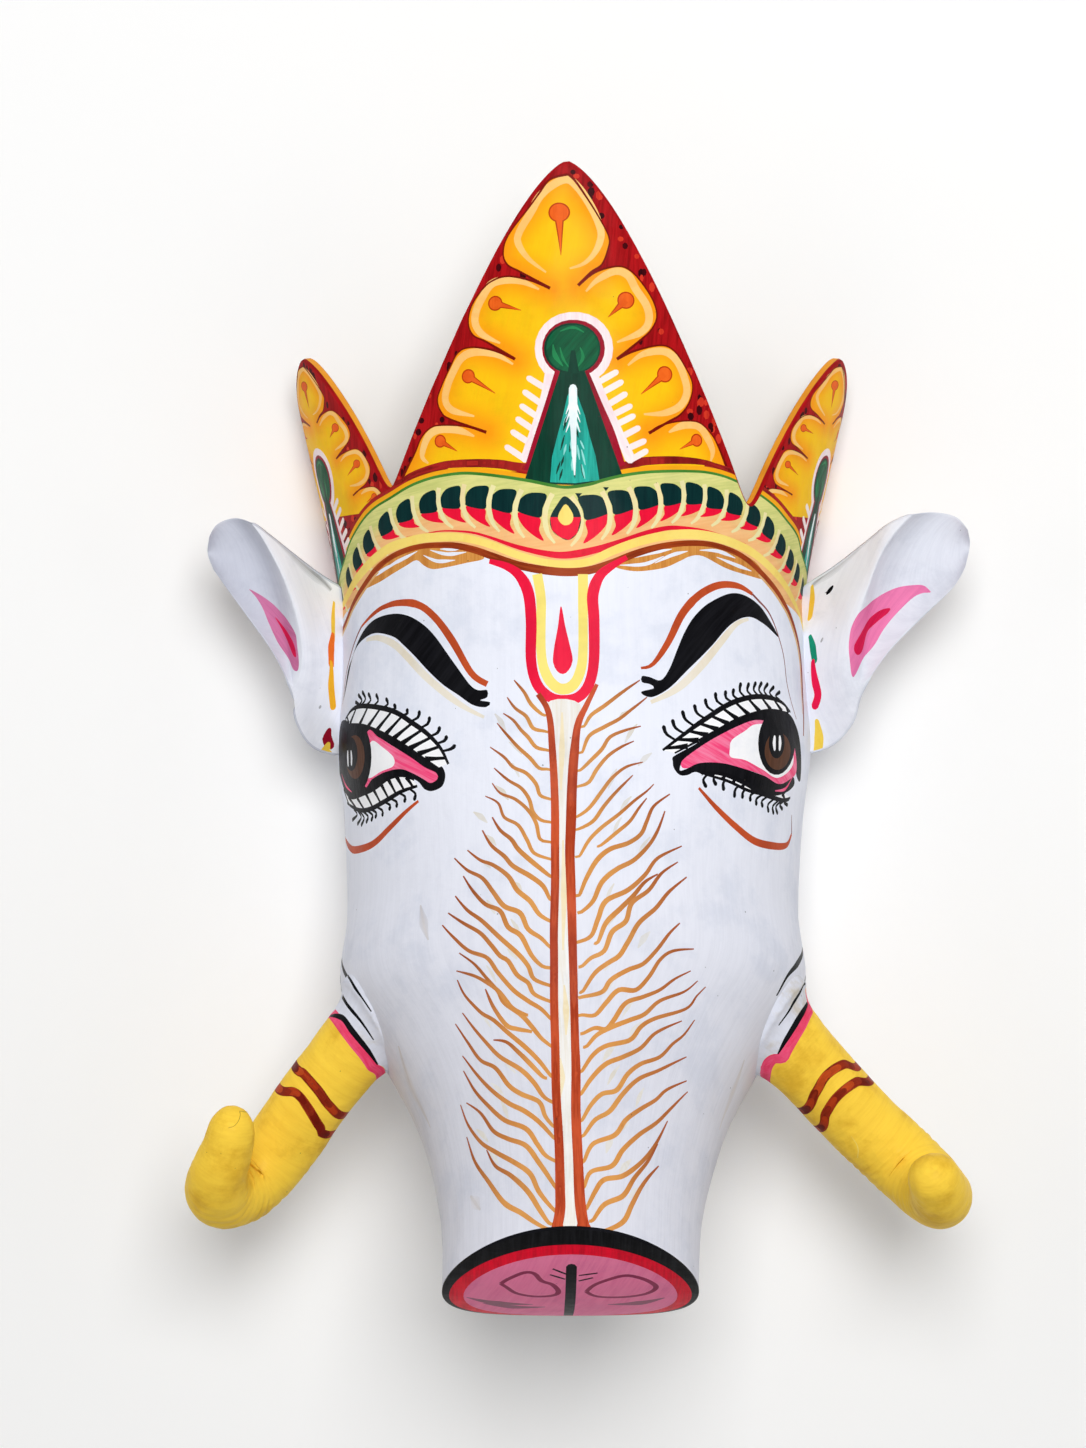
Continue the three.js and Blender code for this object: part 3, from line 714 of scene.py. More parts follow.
# The eyes are painted flat: black lids and lashes, a brown iris, pink corners, a heavy black
# brow over each with an orange line above it and another under the eye.
EYE_BLACK = paint("#0b0b0f", "#1d1d22", 0.38, 0.6)
EYE_WHITE = paint("#fbfbfd", "#eef0f6", 0.45, 0.2)
EYE_PINK = paint("#f5467c", "#fb9dbd", 0.42, 0.7)
EYE_BROWN = paint("#5f3d2c", "#462c1f", 0.42, 0.7)
EYE_LINE = paint("#c9542c", "#a93f1e", 0.45, 0.7)
THIN_MAROON = paint("#8a4a4a", "#6a3038", 0.45, 0.3)
BEIGE = paint("#efe8da", "#e8dcc4", 0.6, 0.9)
RIGHT_EYE = {
    "brow": [
        (642, 676), (650, 677), (661, 680), (670, 668), (678, 648), (686, 630), (697, 614), (716, 599),
        (736, 593), (755, 601), (770, 620), (779, 637), (764, 624), (749, 617), (732, 624), (711, 647),
        (688, 670), (668, 689), (651, 697), (641, 692), (654, 688), (650, 684), (642, 682)
    ],
    "beige": [(651, 702), (678, 688), (703, 664), (722, 641), (737, 624), (749, 619)],
    "over": [
        (641, 668), (653, 664), (669, 641), (684, 612), (701, 594), (720, 585), (739, 586), (753, 594)
    ],
    "thin": [(753, 594), (770, 614), (783, 650), (788, 685), (797, 719)],
    "lash": [
        (663, 750), (682, 736), (703, 721), (726, 706), (747, 698), (766, 697), (782, 702), (791, 712)
    ],
    "lid": [(673, 757), (681, 752), (694, 745), (712, 733), (728, 723), (744, 716), (760, 710),
            (775, 708), (790, 714), (797, 727), (801, 746), (801, 780), (797, 775), (795, 752),
            (791, 736), (782, 727), (768, 723), (755, 721), (738, 727), (718, 737), (700, 748),
            (684, 760), (680, 770), (686, 769), (700, 763), (722, 763), (745, 769), (765, 776),
            (782, 784), (793, 776), (795, 785), (786, 793), (770, 795), (750, 790), (728, 780),
            (708, 774), (695, 772), (688, 775), (680, 775), (674, 768), (673, 761)],
    "open": [
        (682, 767), (683, 760), (700, 747), (718, 736), (738, 726), (755, 720), (770, 722), (784, 728),
        (792, 738), (796, 752), (797, 772), (790, 780), (779, 784), (765, 776), (745, 769), (722, 763),
        (700, 763), (688, 768)
    ],
    "white": [
        (732, 740), (745, 731), (757, 724), (780, 727), (792, 745), (793, 766), (778, 778), (762, 769),
        (745, 760), (731, 757), (730, 749)
    ],
    "iris": (777, 743, 18.5, 32), "brown": (778, 751, 13, 19), "pupil": (777, 743, 7.8, 15.5),
    "shine": ([(775, 737), (774.6, 743), (775, 749)], [(780, 737), (780.4, 743), (780, 749)]),
    "upper_tips": [
        (664, 727), (673, 721), (683, 712), (695, 706), (706, 700), (716, 694), (726, 692), (734, 690),
        (741, 684), (749, 684), (756, 683), (762, 683), (768, 684), (774, 687), (780, 692)
    ],
    "under_lash": [(701, 773), (722, 774), (743, 782), (764, 794), (782, 800), (791, 798)],
    "lower_tips": [
        (706, 786), (716, 784), (724, 789), (735, 796), (743, 797), (751, 800), (757, 804), (763, 806),
        (769, 811), (774, 813), (778, 813), (783, 809), (788, 805)
    ],
    "under": [(699, 788), (716, 807), (736, 826), (755, 841), (774, 846), (787, 845), (792, 834)],
    "side_thin": [(792, 834), (792, 815)],
}
LEFT_EYE = {
    "brow": [
        (343, 700), (347, 672), (352, 657), (358, 641), (366, 627), (377, 618), (393, 614), (408, 616),
        (423, 625), (435, 637), (446, 652), (458, 669), (470, 685), (478, 690), (487, 690), (487, 697),
        (480, 700), (490, 702), (486, 707), (473, 705), (458, 695), (442, 684), (427, 670), (416, 658),
        (404, 646), (393, 637), (377, 633), (366, 637), (356, 648), (350, 665)
    ],
    "beige": [
        (366, 640), (378, 638), (393, 644), (407, 657), (424, 675), (441, 690), (461, 705), (484, 717)
    ],
    "over": [
        (361, 627), (372, 615), (383, 607), (397, 603), (416, 604), (433, 616), (452, 641), (471, 673),
        (487, 684)
    ],
    "thin": [(361, 627), (351, 652), (345, 677), (342, 704)],
    "lash": [
        (345, 719), (351, 710), (362, 706), (381, 708), (397, 713), (412, 723), (427, 734), (440, 748),
        (448, 764)
    ],
    "lid": [(341, 722), (352, 721), (364, 724), (376, 729), (390, 736), (405, 745), (420, 755),
            (432, 764), (441, 766), (445, 775), (442, 786), (432, 791), (424, 789), (417, 781),
            (402, 775), (388, 778), (377, 787), (366, 793), (351, 799), (343, 788), (339, 770),
            (338, 745)],
    "open": [
        (366, 733), (378, 737), (394, 747), (410, 757), (424, 767), (436, 773), (437, 779), (430, 783),
        (423, 779), (412, 773), (400, 769), (385, 772), (372, 779), (364, 785)
    ],
    "white": [(371, 741), (382, 747), (393, 757), (393, 766), (382, 771), (368, 778), (366, 760)],
    "iris": (354, 757, 17, 37), "brown": (354.5, 757, 9.5, 22), "pupil": (350.5, 754, 6.5, 17),
    "shine": ([(347.2, 752), (347, 758), (347.2, 765)], [(350.6, 752), (350.8, 758), (350.6, 764)]),
    "upper_tips": [
        (355, 702), (358, 695), (362, 692), (368, 694), (376, 695), (386, 699), (394, 705), (407, 710),
        (419, 712), (429, 718), (439, 728), (446, 737), (454, 746)
    ],
    "under_lash": [(347, 803), (358, 810), (370, 809), (385, 801), (400, 792), (417, 786)],
    "lower_tips": [
        (414, 799), (404, 801), (396, 806), (389, 809), (382, 815), (375, 817), (371, 820), (366, 822),
        (361, 825), (357, 824), (352, 820)
    ],
    "under": [
        (418, 801), (404, 813), (391, 826), (377, 840), (366, 847), (354, 850), (349, 847), (345, 838)
    ],
    "side_thin": [(345, 838), (342, 815), (342, 795)],
}
for eye in (RIGHT_EYE, LEFT_EYE):
    brush(seen(eye["beige"]), (1.2, 2.6, 2.8, 2.4, 1.0), BEIGE)
    brush(seen(eye["thin"]), (0.8, 0.6, 0.5, 0.4), THIN_MAROON)
    brush(seen(eye["over"]), (0.8, 2.0, 2.6, 2.8, 2.6, 2.2, 1.2) if eye is RIGHT_EYE else
          (0.8, 1.4, 1.8, 2.4, 2.6, 2.8, 2.4, 2.0), EYE_LINE)
    fill(smooth(seen(eye["brow"]), 1.0, closed=True), EYE_BLACK, grain=(1.0, 0.6))
    brush(seen(eye["under"]), (0.9, 1.8, 2.3, 2.6, 2.7, 2.4, 1.4), EYE_LINE)
    brush(seen(eye["side_thin"]), (0.9, 0.4), THIN_MAROON)
    lid = smooth(seen(eye["lid"]), 1.0, closed=True)
    fill(lid, EYE_BLACK)
    fill(smooth(seen(eye["open"]), 1.0, closed=True), EYE_PINK, grain=(1.0, -0.4))
    fill(smooth(seen(eye["white"]), 1.0, closed=True), EYE_WHITE)
    for part, colour in (("iris", EYE_BLACK), ("brown", EYE_BROWN), ("pupil", EYE_BLACK)):
        x, y, half_wide, half_high = eye[part]
        fill(seen(round_spot((x, y), half_wide, half_high)), colour)
    for shine in eye["shine"]:
        brush(seen(shine), (1.3, 1.9, 1.3), EYE_WHITE, tips=(True, True))
    lashes = ((eye["lash"], eye["upper_tips"], 1.9), (eye["under_lash"], eye["lower_tips"], 1.5))
    for stem, tips, width in lashes:
        stem_line = smooth(stem, 1.0)
        brush(seen(stem), (0.8, width, width, width, 0.9), EYE_BLACK)
        for tip in tips:
            tip = np.array(tip, float)
            near = stem_line[np.linalg.norm(stem_line - tip, axis=1).argmin()]
            lean = np.array([-4.0 if eye is RIGHT_EYE else 4.0, 0.0])
            middle = (near + tip) / 2 + lean * 0.6
            hair = seen([near + lean * -0.8, middle, tip])
            brush(hair, (0.8, 0.9, 1.4), EYE_BLACK, 0.8, tips=(False, True))

# Between each lash line and its lid the ground shows white, crossed by slanting black strokes.
# Each row gives the lash line, how many strokes there are, their slant and the lid's edge.
LASH_LADDERS = (
    (RIGHT_EYE["lash"], 11, 0.09,
     [(675, 753), (694, 743), (716, 731), (738, 719), (758, 712), (774, 710), (789, 713)]),
    (LEFT_EYE["lash"], 11, -0.10,
     [(348, 724), (362, 725), (378, 731), (394, 739), (410, 749), (426, 760), (438, 768)]),
    (RIGHT_EYE["under_lash"], 9, 0.03,
     [(697, 771), (708, 775), (728, 781), (750, 791), (770, 795), (786, 793)]),
    (LEFT_EYE["under_lash"], 9, -0.04,
     [(343, 788), (351, 798), (366, 793), (377, 787), (388, 779), (402, 776), (414, 780)]),
)
for stem, count, slant, foot in LASH_LADDERS:
    stem_line, foot_line = smooth(stem, 1.0), smooth(foot, 1.0)
    fill(seen(np.concatenate([stem_line, foot_line[::-1]])[::3]), EYE_WHITE)
    brush(seen(foot), (0.6, 1.0, 1.1, 1.0, 0.6), EYE_BLACK)
    for number in range(count):
        share = (number + 0.4) / count
        top = stem_line[int(share * (len(stem_line) - 1))]
        low = foot_line[int(min(max(share + slant, 0), 1) * (len(foot_line) - 1))]
        brush(seen([top, low]), (1.0, 1.2, 2.0), EYE_BLACK, 0.8)
    brush(seen(stem), (0.8, 1.5, 1.7, 1.6, 0.9), EYE_BLACK)
for pink in ([(341, 774), (345, 785), (351, 792)], [(793, 778), (786, 789), (776, 791)]):
    brush(seen(pink), (0.3, 1.2, 0.4), EYE_PINK)

LEFT_HAIRS = (
    ((542, 714), (531, 704), (524, 692), (514, 680)),
    ((544, 731), (533, 728), (526, 716), (515, 708), (507, 697)),
    ((547, 750), (536, 747), (528, 737), (521, 730), (513, 720), (503, 713)),
    ((547, 769), (539, 768), (530, 758), (518, 747), (508, 736), (497, 723)),
    ((550, 799), (540, 795), (536, 784), (526, 773), (513, 767), (504, 757), (490, 747)),
    ((550, 822), (541, 820), (533, 812), (529, 799), (521, 788), (508, 780), (494, 768)),
    ((550, 842), (540, 839), (536, 823), (528, 810), (515, 799), (500, 793), (492, 783)),
    ((550, 859), (534, 853), (527, 840), (518, 825), (504, 817), (498, 803), (485, 796)),
    ((550, 876), (541, 869), (530, 860), (518, 849), (511, 839), (500, 830), (492, 817)),
    ((550, 899), (543, 886), (530, 876), (513, 866), (504, 856), (491, 845), (482, 830)),
    ((550, 921), (539, 914), (530, 901), (517, 890), (508, 876), (493, 865), (480, 860), (467, 850)),
    ((550, 947), (541, 938), (528, 929), (520, 913), (504, 906), (493, 892), (482, 878), (467, 870),
     (454, 858)),
    ((551, 968), (542, 966), (532, 956), (521, 936), (508, 927), (500, 911), (485, 904), (472, 890),
     (463, 876)),
    ((551, 986), (534, 979), (528, 966), (517, 953), (498, 936), (482, 921), (467, 910), (455, 896)),
    ((551, 1002), (534, 994), (528, 983), (517, 975), (508, 961), (500, 956), (491, 945), (480, 933),
     (463, 923), (448, 913)),
    ((551, 1019), (541, 1009), (528, 1001), (513, 990), (498, 973), (487, 958), (469, 951), (454, 938),
     (442, 925)),
    ((551, 1046), (541, 1038), (532, 1027), (521, 1015), (504, 1003), (498, 992), (487, 979), (474, 964),
     (459, 953)),
    ((524, 1014), (511, 1007), (498, 991), (487, 983), (474, 976), (456, 971)),
    ((551, 1076), (539, 1061), (526, 1048), (508, 1033), (493, 1020), (480, 1012), (465, 996), (457, 980)),
    ((543, 1077), (534, 1068), (519, 1053), (506, 1042), (493, 1040)),
    ((528, 1031), (517, 1029), (506, 1025), (493, 1007), (485, 989)),
    ((552, 1102), (543, 1096), (534, 1083), (521, 1070), (500, 1057), (487, 1044), (474, 1029),
     (462, 1013)),
    ((553, 1126), (545, 1116), (539, 1102), (521, 1094), (508, 1085), (495, 1068), (480, 1060),
     (467, 1042), (455, 1024)),
    ((554, 1138), (539, 1122), (524, 1111), (508, 1103), (491, 1090), (476, 1074), (462, 1056)),
    ((555, 1161), (545, 1155), (537, 1144), (526, 1129), (504, 1120), (487, 1105), (474, 1090),
     (463, 1071)),
    ((557, 1189), (550, 1179), (539, 1163), (526, 1146), (508, 1139), (493, 1131), (480, 1113),
     (466, 1103)),
    ((555, 1211), (539, 1192), (530, 1174), (515, 1163), (495, 1152), (480, 1142), (467, 1124),
     (460, 1105)),
    ((549, 1223), (539, 1209), (528, 1192), (511, 1176), (495, 1166), (486, 1150)),
    ((545, 1228), (534, 1222), (521, 1213), (504, 1203), (489, 1183), (474, 1161), (466, 1137)),
)
RIGHT_HAIRS = (
    ((584, 726), (591, 715), (604, 706), (617, 696), (628, 688), (640, 680)),
    ((582, 752), (589, 736), (604, 727), (619, 719), (632, 709), (647, 697)),
    ((580, 770), (591, 760), (602, 749), (610, 737), (626, 730), (641, 726)),
    ((579, 786), (589, 782), (597, 769), (608, 756), (621, 747), (634, 741)),
    ((576, 817), (589, 808), (602, 791), (612, 778), (626, 767), (643, 762)),
    ((578, 829), (593, 821), (604, 806), (617, 791), (633, 775)),
    ((579, 856), (589, 840), (602, 827), (619, 814), (634, 801), (647, 791), (654, 784)),
    ((601, 845), (617, 832), (630, 821), (639, 808), (647, 798)),
    ((579, 895), (586, 879), (597, 860), (610, 849), (628, 843), (641, 834), (647, 821), (654, 806),
     (670, 794)),
    ((581, 912), (593, 901), (602, 882), (617, 869), (634, 860), (649, 845), (658, 830), (665, 811)),
    ((578, 942), (591, 936), (598, 919), (606, 901), (628, 890), (645, 875), (658, 858), (682, 846)),
    ((598, 942), (606, 923), (621, 908), (634, 895), (645, 882), (658, 874)),
    ((582, 966), (591, 958), (604, 951), (612, 932), (626, 921), (632, 903), (649, 890), (662, 873),
     (678, 862)),
    ((583, 991), (595, 973), (608, 963), (619, 956), (628, 942), (639, 923), (656, 908), (669, 892),
     (687, 877)),
    ((582, 997), (602, 992), (611, 980), (628, 970), (643, 964), (656, 951), (669, 934), (680, 923)),
    ((582, 1015), (595, 1015), (606, 1003), (619, 990), (636, 990), (649, 977), (660, 960), (673, 951),
     (694, 949)),
    ((584, 1033), (595, 1028), (606, 1029), (614, 1020), (626, 1003), (643, 997), (660, 990), (675, 979),
     (691, 971)),
    ((587, 1046), (597, 1035), (612, 1027), (630, 1020), (645, 1014), (660, 1001), (684, 992), (698, 981)),
    ((582, 1071), (593, 1055), (606, 1046), (630, 1040), (641, 1027), (654, 1019), (686, 1009),
     (697, 996), (706, 987)),
    ((581, 1094), (591, 1079), (606, 1064), (623, 1057), (641, 1048), (656, 1033), (682, 1021)),
    ((582, 1120), (591, 1105), (602, 1094), (617, 1090), (628, 1074), (641, 1064), (660, 1057),
     (673, 1044), (684, 1035), (695, 1020)),
    ((584, 1135), (595, 1120), (610, 1111), (623, 1094), (639, 1079), (660, 1070), (687, 1057)),
    ((584, 1161), (593, 1144), (615, 1135), (626, 1120), (641, 1109), (656, 1100), (667, 1090),
     (687, 1081)),
    ((584, 1187), (591, 1172), (612, 1166), (623, 1150), (639, 1135), (660, 1120), (688, 1092)),
    ((586, 1209), (595, 1192), (604, 1180), (623, 1176), (641, 1163), (656, 1144), (668, 1121)),
    ((593, 1220), (604, 1205), (623, 1196), (634, 1179), (647, 1163), (658, 1144)),
    ((604, 1231), (623, 1222), (632, 1205), (643, 1185), (659, 1166)),
)

# Down the snout run two red-brown lines with cream between them, and wavy ochre hairs spread
# from them over beige smears.
SNOUT_LINE = paint("#cb5530", "#9c3318", 0.45, 0.9)
HAIR = paint("#da9a54", "#c8803c", 0.45, 0.6)
HAIR_TIP = paint("#a85a34", "#8f4022", 0.45, 0.6)
LEFT_LINE = [
    (538, 694), (546, 706), (550, 720), (552, 745), (554, 780), (555, 812), (555, 850), (555, 885),
    (554, 920), (554, 960), (554, 1000), (555, 1040), (556, 1092), (559, 1146), (560, 1190), (560, 1210),
    (556, 1232)
]
RIGHT_LINE = [
    (597, 684), (587, 704), (578, 724), (574, 756), (572, 788), (571, 821), (570, 853), (571, 886),
    (572, 920), (573, 960), (574, 1000), (575, 1040), (576, 1070), (576, 1113), (578, 1157), (580, 1200),
    (585, 1232)
]
MIDDLE_FIELD = [
    (546, 704), (580, 704), (574, 740), (571, 800), (571, 900), (574, 1000), (576, 1110), (580, 1229),
    (559, 1229), (556, 1110), (554, 1000), (555, 900), (554, 800), (551, 740)
]
DIRT_AND_PAINTED_SHADE = paint("#cbc0b4", "#bcae9f", 0.6, 0.8)
MIDDLE_WHITE = paint("#f1f0ef", "#e6dfd0", 0.5, 0.8)
smears = random.Random(11)
for number in range(44):
    side = -1 if number % 2 else 1
    y = 720 + 11.4 * number
    x = 563 + side * smears.uniform(38, 76)
    run_out = (smears.uniform(7, 14) * side, smears.uniform(-20, -9))
    brush(seen([(x, y), (x + run_out[0] * 0.5, y + run_out[1] * 0.6), (x + run_out[0], y + run_out[1])]),
          (0.4, smears.uniform(1.2, 2.6), 0.4), paint("#e0dfdf", "#dad4c8", 0.6, 1.0))
# Soft grey-beige strokes beside each tusk root, low on the snout and on the left cheek: painted shade where
# the cheek turns in by the tusks, with some dirt, darkest along each stroke's middle.
for shaded_smear, width in (([(398, 1046), (412, 1090), (430, 1128)], 7.0), ([(745, 1060), (732, 1096),
                                                                       (720, 1130)], 6.0),
                     ([(470, 1196), (480, 1210)], 5.0), ([(420, 905), (428, 940)], 4.0)):
    for share in (0.3, 0.6, 1.0):
        brush(seen(shaded_smear), (0.6, width * (1.25 - share), 0.6),
              SNOUT_WHITE_PAINTED_SHADE * (1 - 0.4 * share) + DIRT_AND_PAINTED_SHADE * 0.4 * share)
fill(smooth(seen(MIDDLE_FIELD), 2.0, closed=True), MIDDLE_WHITE, grain=(0.0, 1.0))
for cream in ([(562, 712), (562, 740), (561, 790)], [(563, 840), (564, 900), (563, 950)],
              [(564, 985), (566, 1010), (566, 1035)], [(560, 1058), (562, 1078), (560, 1098)]):
    brush(seen(cream), (0.5, 2.0, 0.5), paint("#f3e6c6", "#ecd8aa", 0.5, 0.8))
for hairs, toward_line in ((LEFT_HAIRS, 4), (RIGHT_HAIRS, -4)):
    for number, hair in enumerate(hairs):
        x, y = hair[0]
        full = 0.74 if number < 8 else 0.95
        widths = full * np.array((1.1, 1.6, 1.8, 1.7, 1.5, 1.2, 0.5))
        brush(seen([(x + toward_line, y + 1), *hair]), widths, HAIR, second=HAIR_TIP)
brush(seen(LEFT_LINE), (1.8, 2.4, 2.7, 2.7, 2.6, 2.7, 2.8, 2.9, 3.4), SNOUT_LINE)
brush(seen(RIGHT_LINE), (1.2, 3.0, 3.2, 2.9, 2.7, 2.8, 3.0, 3.1, 3.6), SNOUT_LINE)
for foot in ([(552, 1231), (560, 1208), (564, 1232)], [(576, 1232), (581, 1205), (593, 1231)]):
    fill(seen(foot), SNOUT_LINE)

# Black creases at the jaw, above each tusk, with a pink band along the lowest.
JAW_CREASES = (
    ([(340, 960), (353, 986), (371, 1012)], (1.6, 2.6, 0.9)),
    ([(334, 981), (345, 1003), (373, 1041)], (1.6, 2.6, 0.9)),
    ([(803, 948), (790, 973), (777, 996)], (1.6, 2.6, 0.9)),
    ([(808, 978), (802, 992), (779, 1027)], (1.6, 2.6, 0.9)),
)
JAW_PINK = paint("#f06284", "#ec2a56", 0.45, 0.8)
for crease in ([(330, 1012), (350, 1046), (376, 1076)], [(814, 1010), (797, 1042), (776, 1070)]):
    brush(seen(crease), (2.4, 3.6, 2.0), JAW_PINK)
for crease, widths in JAW_CREASES + (
    ([(332, 1003), (350, 1035), (377, 1062)], (1.4, 2.4, 1.0)),
    ([(812, 1002), (797, 1030), (776, 1057)], (1.4, 2.4, 1.0)),
):
    brush(seen(crease), widths, EYE_BLACK)
NOSE_RIM = np.stack([np.linspace(-92, 92, 80) * ROUND_MM, np.full(80, 0.35)], -1)
brush(NOSE_RIM, (0.3, 1.0, 1.6, 1.8, 1.6, 1.0, 0.3), EYE_BLACK)

# The nose plate: a black and a red ring round a pink disc with a bar, whiskers and the
# outlines of the nostrils. Its paints are laid out in millimetres from its middle.
# The plate's pink and red are lighter than its real paints, as painted light to make up for the plate facing
# down, away from the overhead lamp.
PLATE_BLACK = paint("#0c0c0e", "#26262a", 0.4, 0.6)
PLATE_PINK = paint("#fb88b0", "#ea6e9c", 0.5, 0.6)
PLATE_RED = paint("#fb0a32", "#d00828", 0.42, 0.8)
NOSTRIL = paint("#9c3a5c", "#7f2a48", 0.45, 0.4)
NOSTRILS = (
    [(-22, 10), (-19.7, 13.5), (-14.7, 18), (-11.4, 17.5), (-9.1, 12.7), (-5.7, 10), (-3.8, 4.5),
     (-5.7, 1), (-11.4, 0), (-17, 2.5), (-20.3, 7.6)],
    [(5, 4.5), (7.3, 9.5), (11.8, 13.5), (16.8, 16), (20.8, 14.8), (24.7, 11.5), (27, 6.8), (24.2, 1.8),
     (18, -0.8), (11.2, -0.8), (7.3, 1)],
)


def plate_ground(spots):
    return np.tile(PLATE_PINK, (len(spots), 1))


def even_spread(spots):
    return np.ones((len(spots), 2))


plate_pattern = []
plate_brush = partial(brush, onto=plate_pattern, spread_of=even_spread)
fill(round_spot((0, 0), 60, 60), PLATE_BLACK, onto=plate_pattern)
fill(round_spot((0, -2.5), 38.6, 36.3, 70), PLATE_RED, onto=plate_pattern)
fill(round_spot((0, -2.2), 34, 31, 60), PLATE_PINK, grain=(0.3, 1.0), onto=plate_pattern)
# Three grey-pink strokes low on the disc, to each side of the bar.
for low_grey_stroke in ([(-33, -3), (-24, -8), (-12, -9)], [(-28, -9), (-18, -13), (-8, -12)], [(12, -9),
                                                                                       (22, -8),
                                                                                       (30, -3)]):
    plate_brush(low_grey_stroke, (0.5, 5.0, 0.5), paint("#9a6f7c", "#b46a84", 0.6, 1.0))
for nostril in NOSTRILS:
    plate_brush(nostril + nostril[:1], (1.5, 1.8, 1.5), NOSTRIL)
plate_brush([(0.2, 22), (0, 0), (-0.5, -33)], (3.4, 3.4, 3.0), PLATE_BLACK, tips=(True, False))
for whisker in ([(-5.7, 20.7), (-0.9, 17)], [(-6.5, 17), (-1.7, 14)], [(2.5, 16.5), (8.4, 18)], [
                                                                                                 (2.5, 12.8),
                                                                                                 (7, 15)]):
    plate_brush(whisker, (0.7, 0.9, 0.7), PLATE_BLACK)


def within_box(outline, spots, margin=0.0):
    low, high = outline.min(0) - margin, outline.max(0) + margin
    return ((spots >= low) & (spots <= high)).all(1)


# Cuts a pattern into triangles along every edge of its paints, and gives each corner the
# paint that lies on top there and its place along and across the brush.
def cut_pattern(border, loose, layers, ground, close=0.01, lay=(0, 1)):
    outlines = [border] + [layer["outline"] for layer in layers]
    near_edge = np.concatenate(outlines)
    cells = {(round(x / 0.8), round(y / 0.8)) for x, y in near_edge}
    loose = np.array([spot for spot in loose if (round(spot[0] / 0.8), round(spot[1] / 0.8)) not in cells])
    spots = [Vector(spot) for spot in near_edge.tolist() + loose.tolist()]
    edges, start = [], 0
    for outline in outlines:
        count = len(outline)
        edges += [(start + i, start + (i + 1) % count) for i in range(count)]
        start += count
    cut = delaunay_2d_cdt(spots, edges, [], 0, close)
    spots = np.array([tuple(spot) for spot in cut[0]])
    faces = np.array([face for face in cut[2] if len(face) == 3])
    middles = spots[faces].mean(1)
    kept = inside(border, middles)
    faces, middles = faces[kept], middles[kept]
    owner = np.full(len(faces), -1)
    for number, layer in enumerate(layers):
        near = np.flatnonzero(within_box(layer["outline"], middles))
        owner[near[inside(layer["outline"], middles[near])]] = number
    corners = spots[faces]
    colours = ground(corners.reshape(-1, 2)).reshape(-1, 3, 8)
    strokes = np.stack([corners @ [lay[1], -lay[0]], corners @ lay], -1)
    for number in np.unique(owner[owner >= 0]):
        layer = layers[number]
        mine = owner == number
        own = corners[mine].reshape(-1, 2)
        if layer["line"] is None:
            grain = np.array(layer["grain"], float)
            grain /= np.linalg.norm(grain)
            along, across = own @ grain, own @ [grain[1], -grain[0]]
        else:
            line, runs = layer["line"]
            away = np.linalg.norm(own[:, None] - line[None], axis=2)
            nearest = away.argmin(1)
            along, across = runs[nearest], away.min(1)
        colour = np.tile(layer["colour"], (len(own), 1))
        if layer["second"] is not None:
            if layer["fade"] is not None:
                share = layer["fade"](own)
            else:
                share = (along / layer["line"][1][-1] - 0.35) / 0.6
            share = np.clip(share, 0, 1)[:, None]
            colour = colour * (1 - share) + layer["second"] * share
        colours[mine] = colour.reshape(-1, 3, 8)
        strokes[mine] = np.stack([across, along + 37.3 * number], -1).reshape(-1, 3, 2)
    used, faces = np.unique(faces, return_inverse=True)
    return spots[used], faces.reshape(-1, 3), colours, strokes


# Walks once round the edge of a cut pattern, with its inside on the left.
def edge_loop(faces, first):
    one_way = {(a, b) for face in faces.tolist() for a, b in zip(face, face[1:] + face[:1])}
    following = {a: b for a, b in one_way if (b, a) not in one_way}
    loop = [first]
    while following[loop[-1]] != first:
        loop.append(following[loop[-1]])
    return loop


def step_to(function, low, high):
    for _ in range(50):
        middle = (low + high) / 2
        above = function(middle) > 0
        low, high = np.where(above, middle, low), np.where(above, high, middle)
    return (low + high) / 2


def evenly(points, step):
    along = np.concatenate([[0], np.cumsum(np.linalg.norm(np.diff(points, axis=0), axis=1))])
    places = np.linspace(0, along[-1], int(round(along[-1] / step)) + 1)
    return np.stack([np.interp(places, along, points[:, 0]), np.interp(places, along, points[:, 1])], -1)


# The pattern's border: the nose row, the keel seam under the snout, the rim that the mask
# lies on, and the crown's edge, held back a little for its rounding.
EDGE_ROUND = 1.0
KEEL = 180 * ROUND_MM
chin_run = float(step_to(lambda run: face_points(180.0, run)[..., 2], 60.0, 110.0))
RIM_STEPS = 500
rim_share = np.linspace(0, 1, RIM_STEPS) ** 2
rim_runs = chin_run + (262 - chin_run) * rim_share
rim_turns = step_to(lambda turn: face_points(turn, rim_runs)[..., 2],
                    np.full(RIM_STEPS, 90.0), np.full(RIM_STEPS, 180.0))
reaches = int(np.argmax(rim_runs >= crown_edge(rim_turns)))
right_rim = evenly(np.stack([rim_turns * ROUND_MM, rim_runs], -1)[: reaches + 1], 2.6)
right_rim[0] = (KEEL, chin_run)
crown_turns = np.linspace(rim_turns[reaches], -rim_turns[reaches], 1600)
crown_line = np.stack([crown_turns * ROUND_MM, crown_edge(crown_turns)], -1)
crown_way = np.gradient(crown_line, axis=0)
crown_way /= np.linalg.norm(crown_way, axis=1, keepdims=True)
ends = np.minimum(np.arange(1600), np.arange(1600)[::-1])[:, None] / 60
crown_line += EDGE_ROUND * np.clip(ends, 0, 1) * np.stack([-crown_way[:, 1], crown_way[:, 0]], -1)
crown_line = evenly(crown_line, 1.5)
crown_line[0] = right_rim[-1]
crown_line[-1] = right_rim[-1] * [-1, 1]
nose_row = np.stack([np.linspace(-KEEL, KEEL, 181), np.zeros(181)], -1)
seam_runs = np.linspace(0, chin_run, 28)[1:-1]
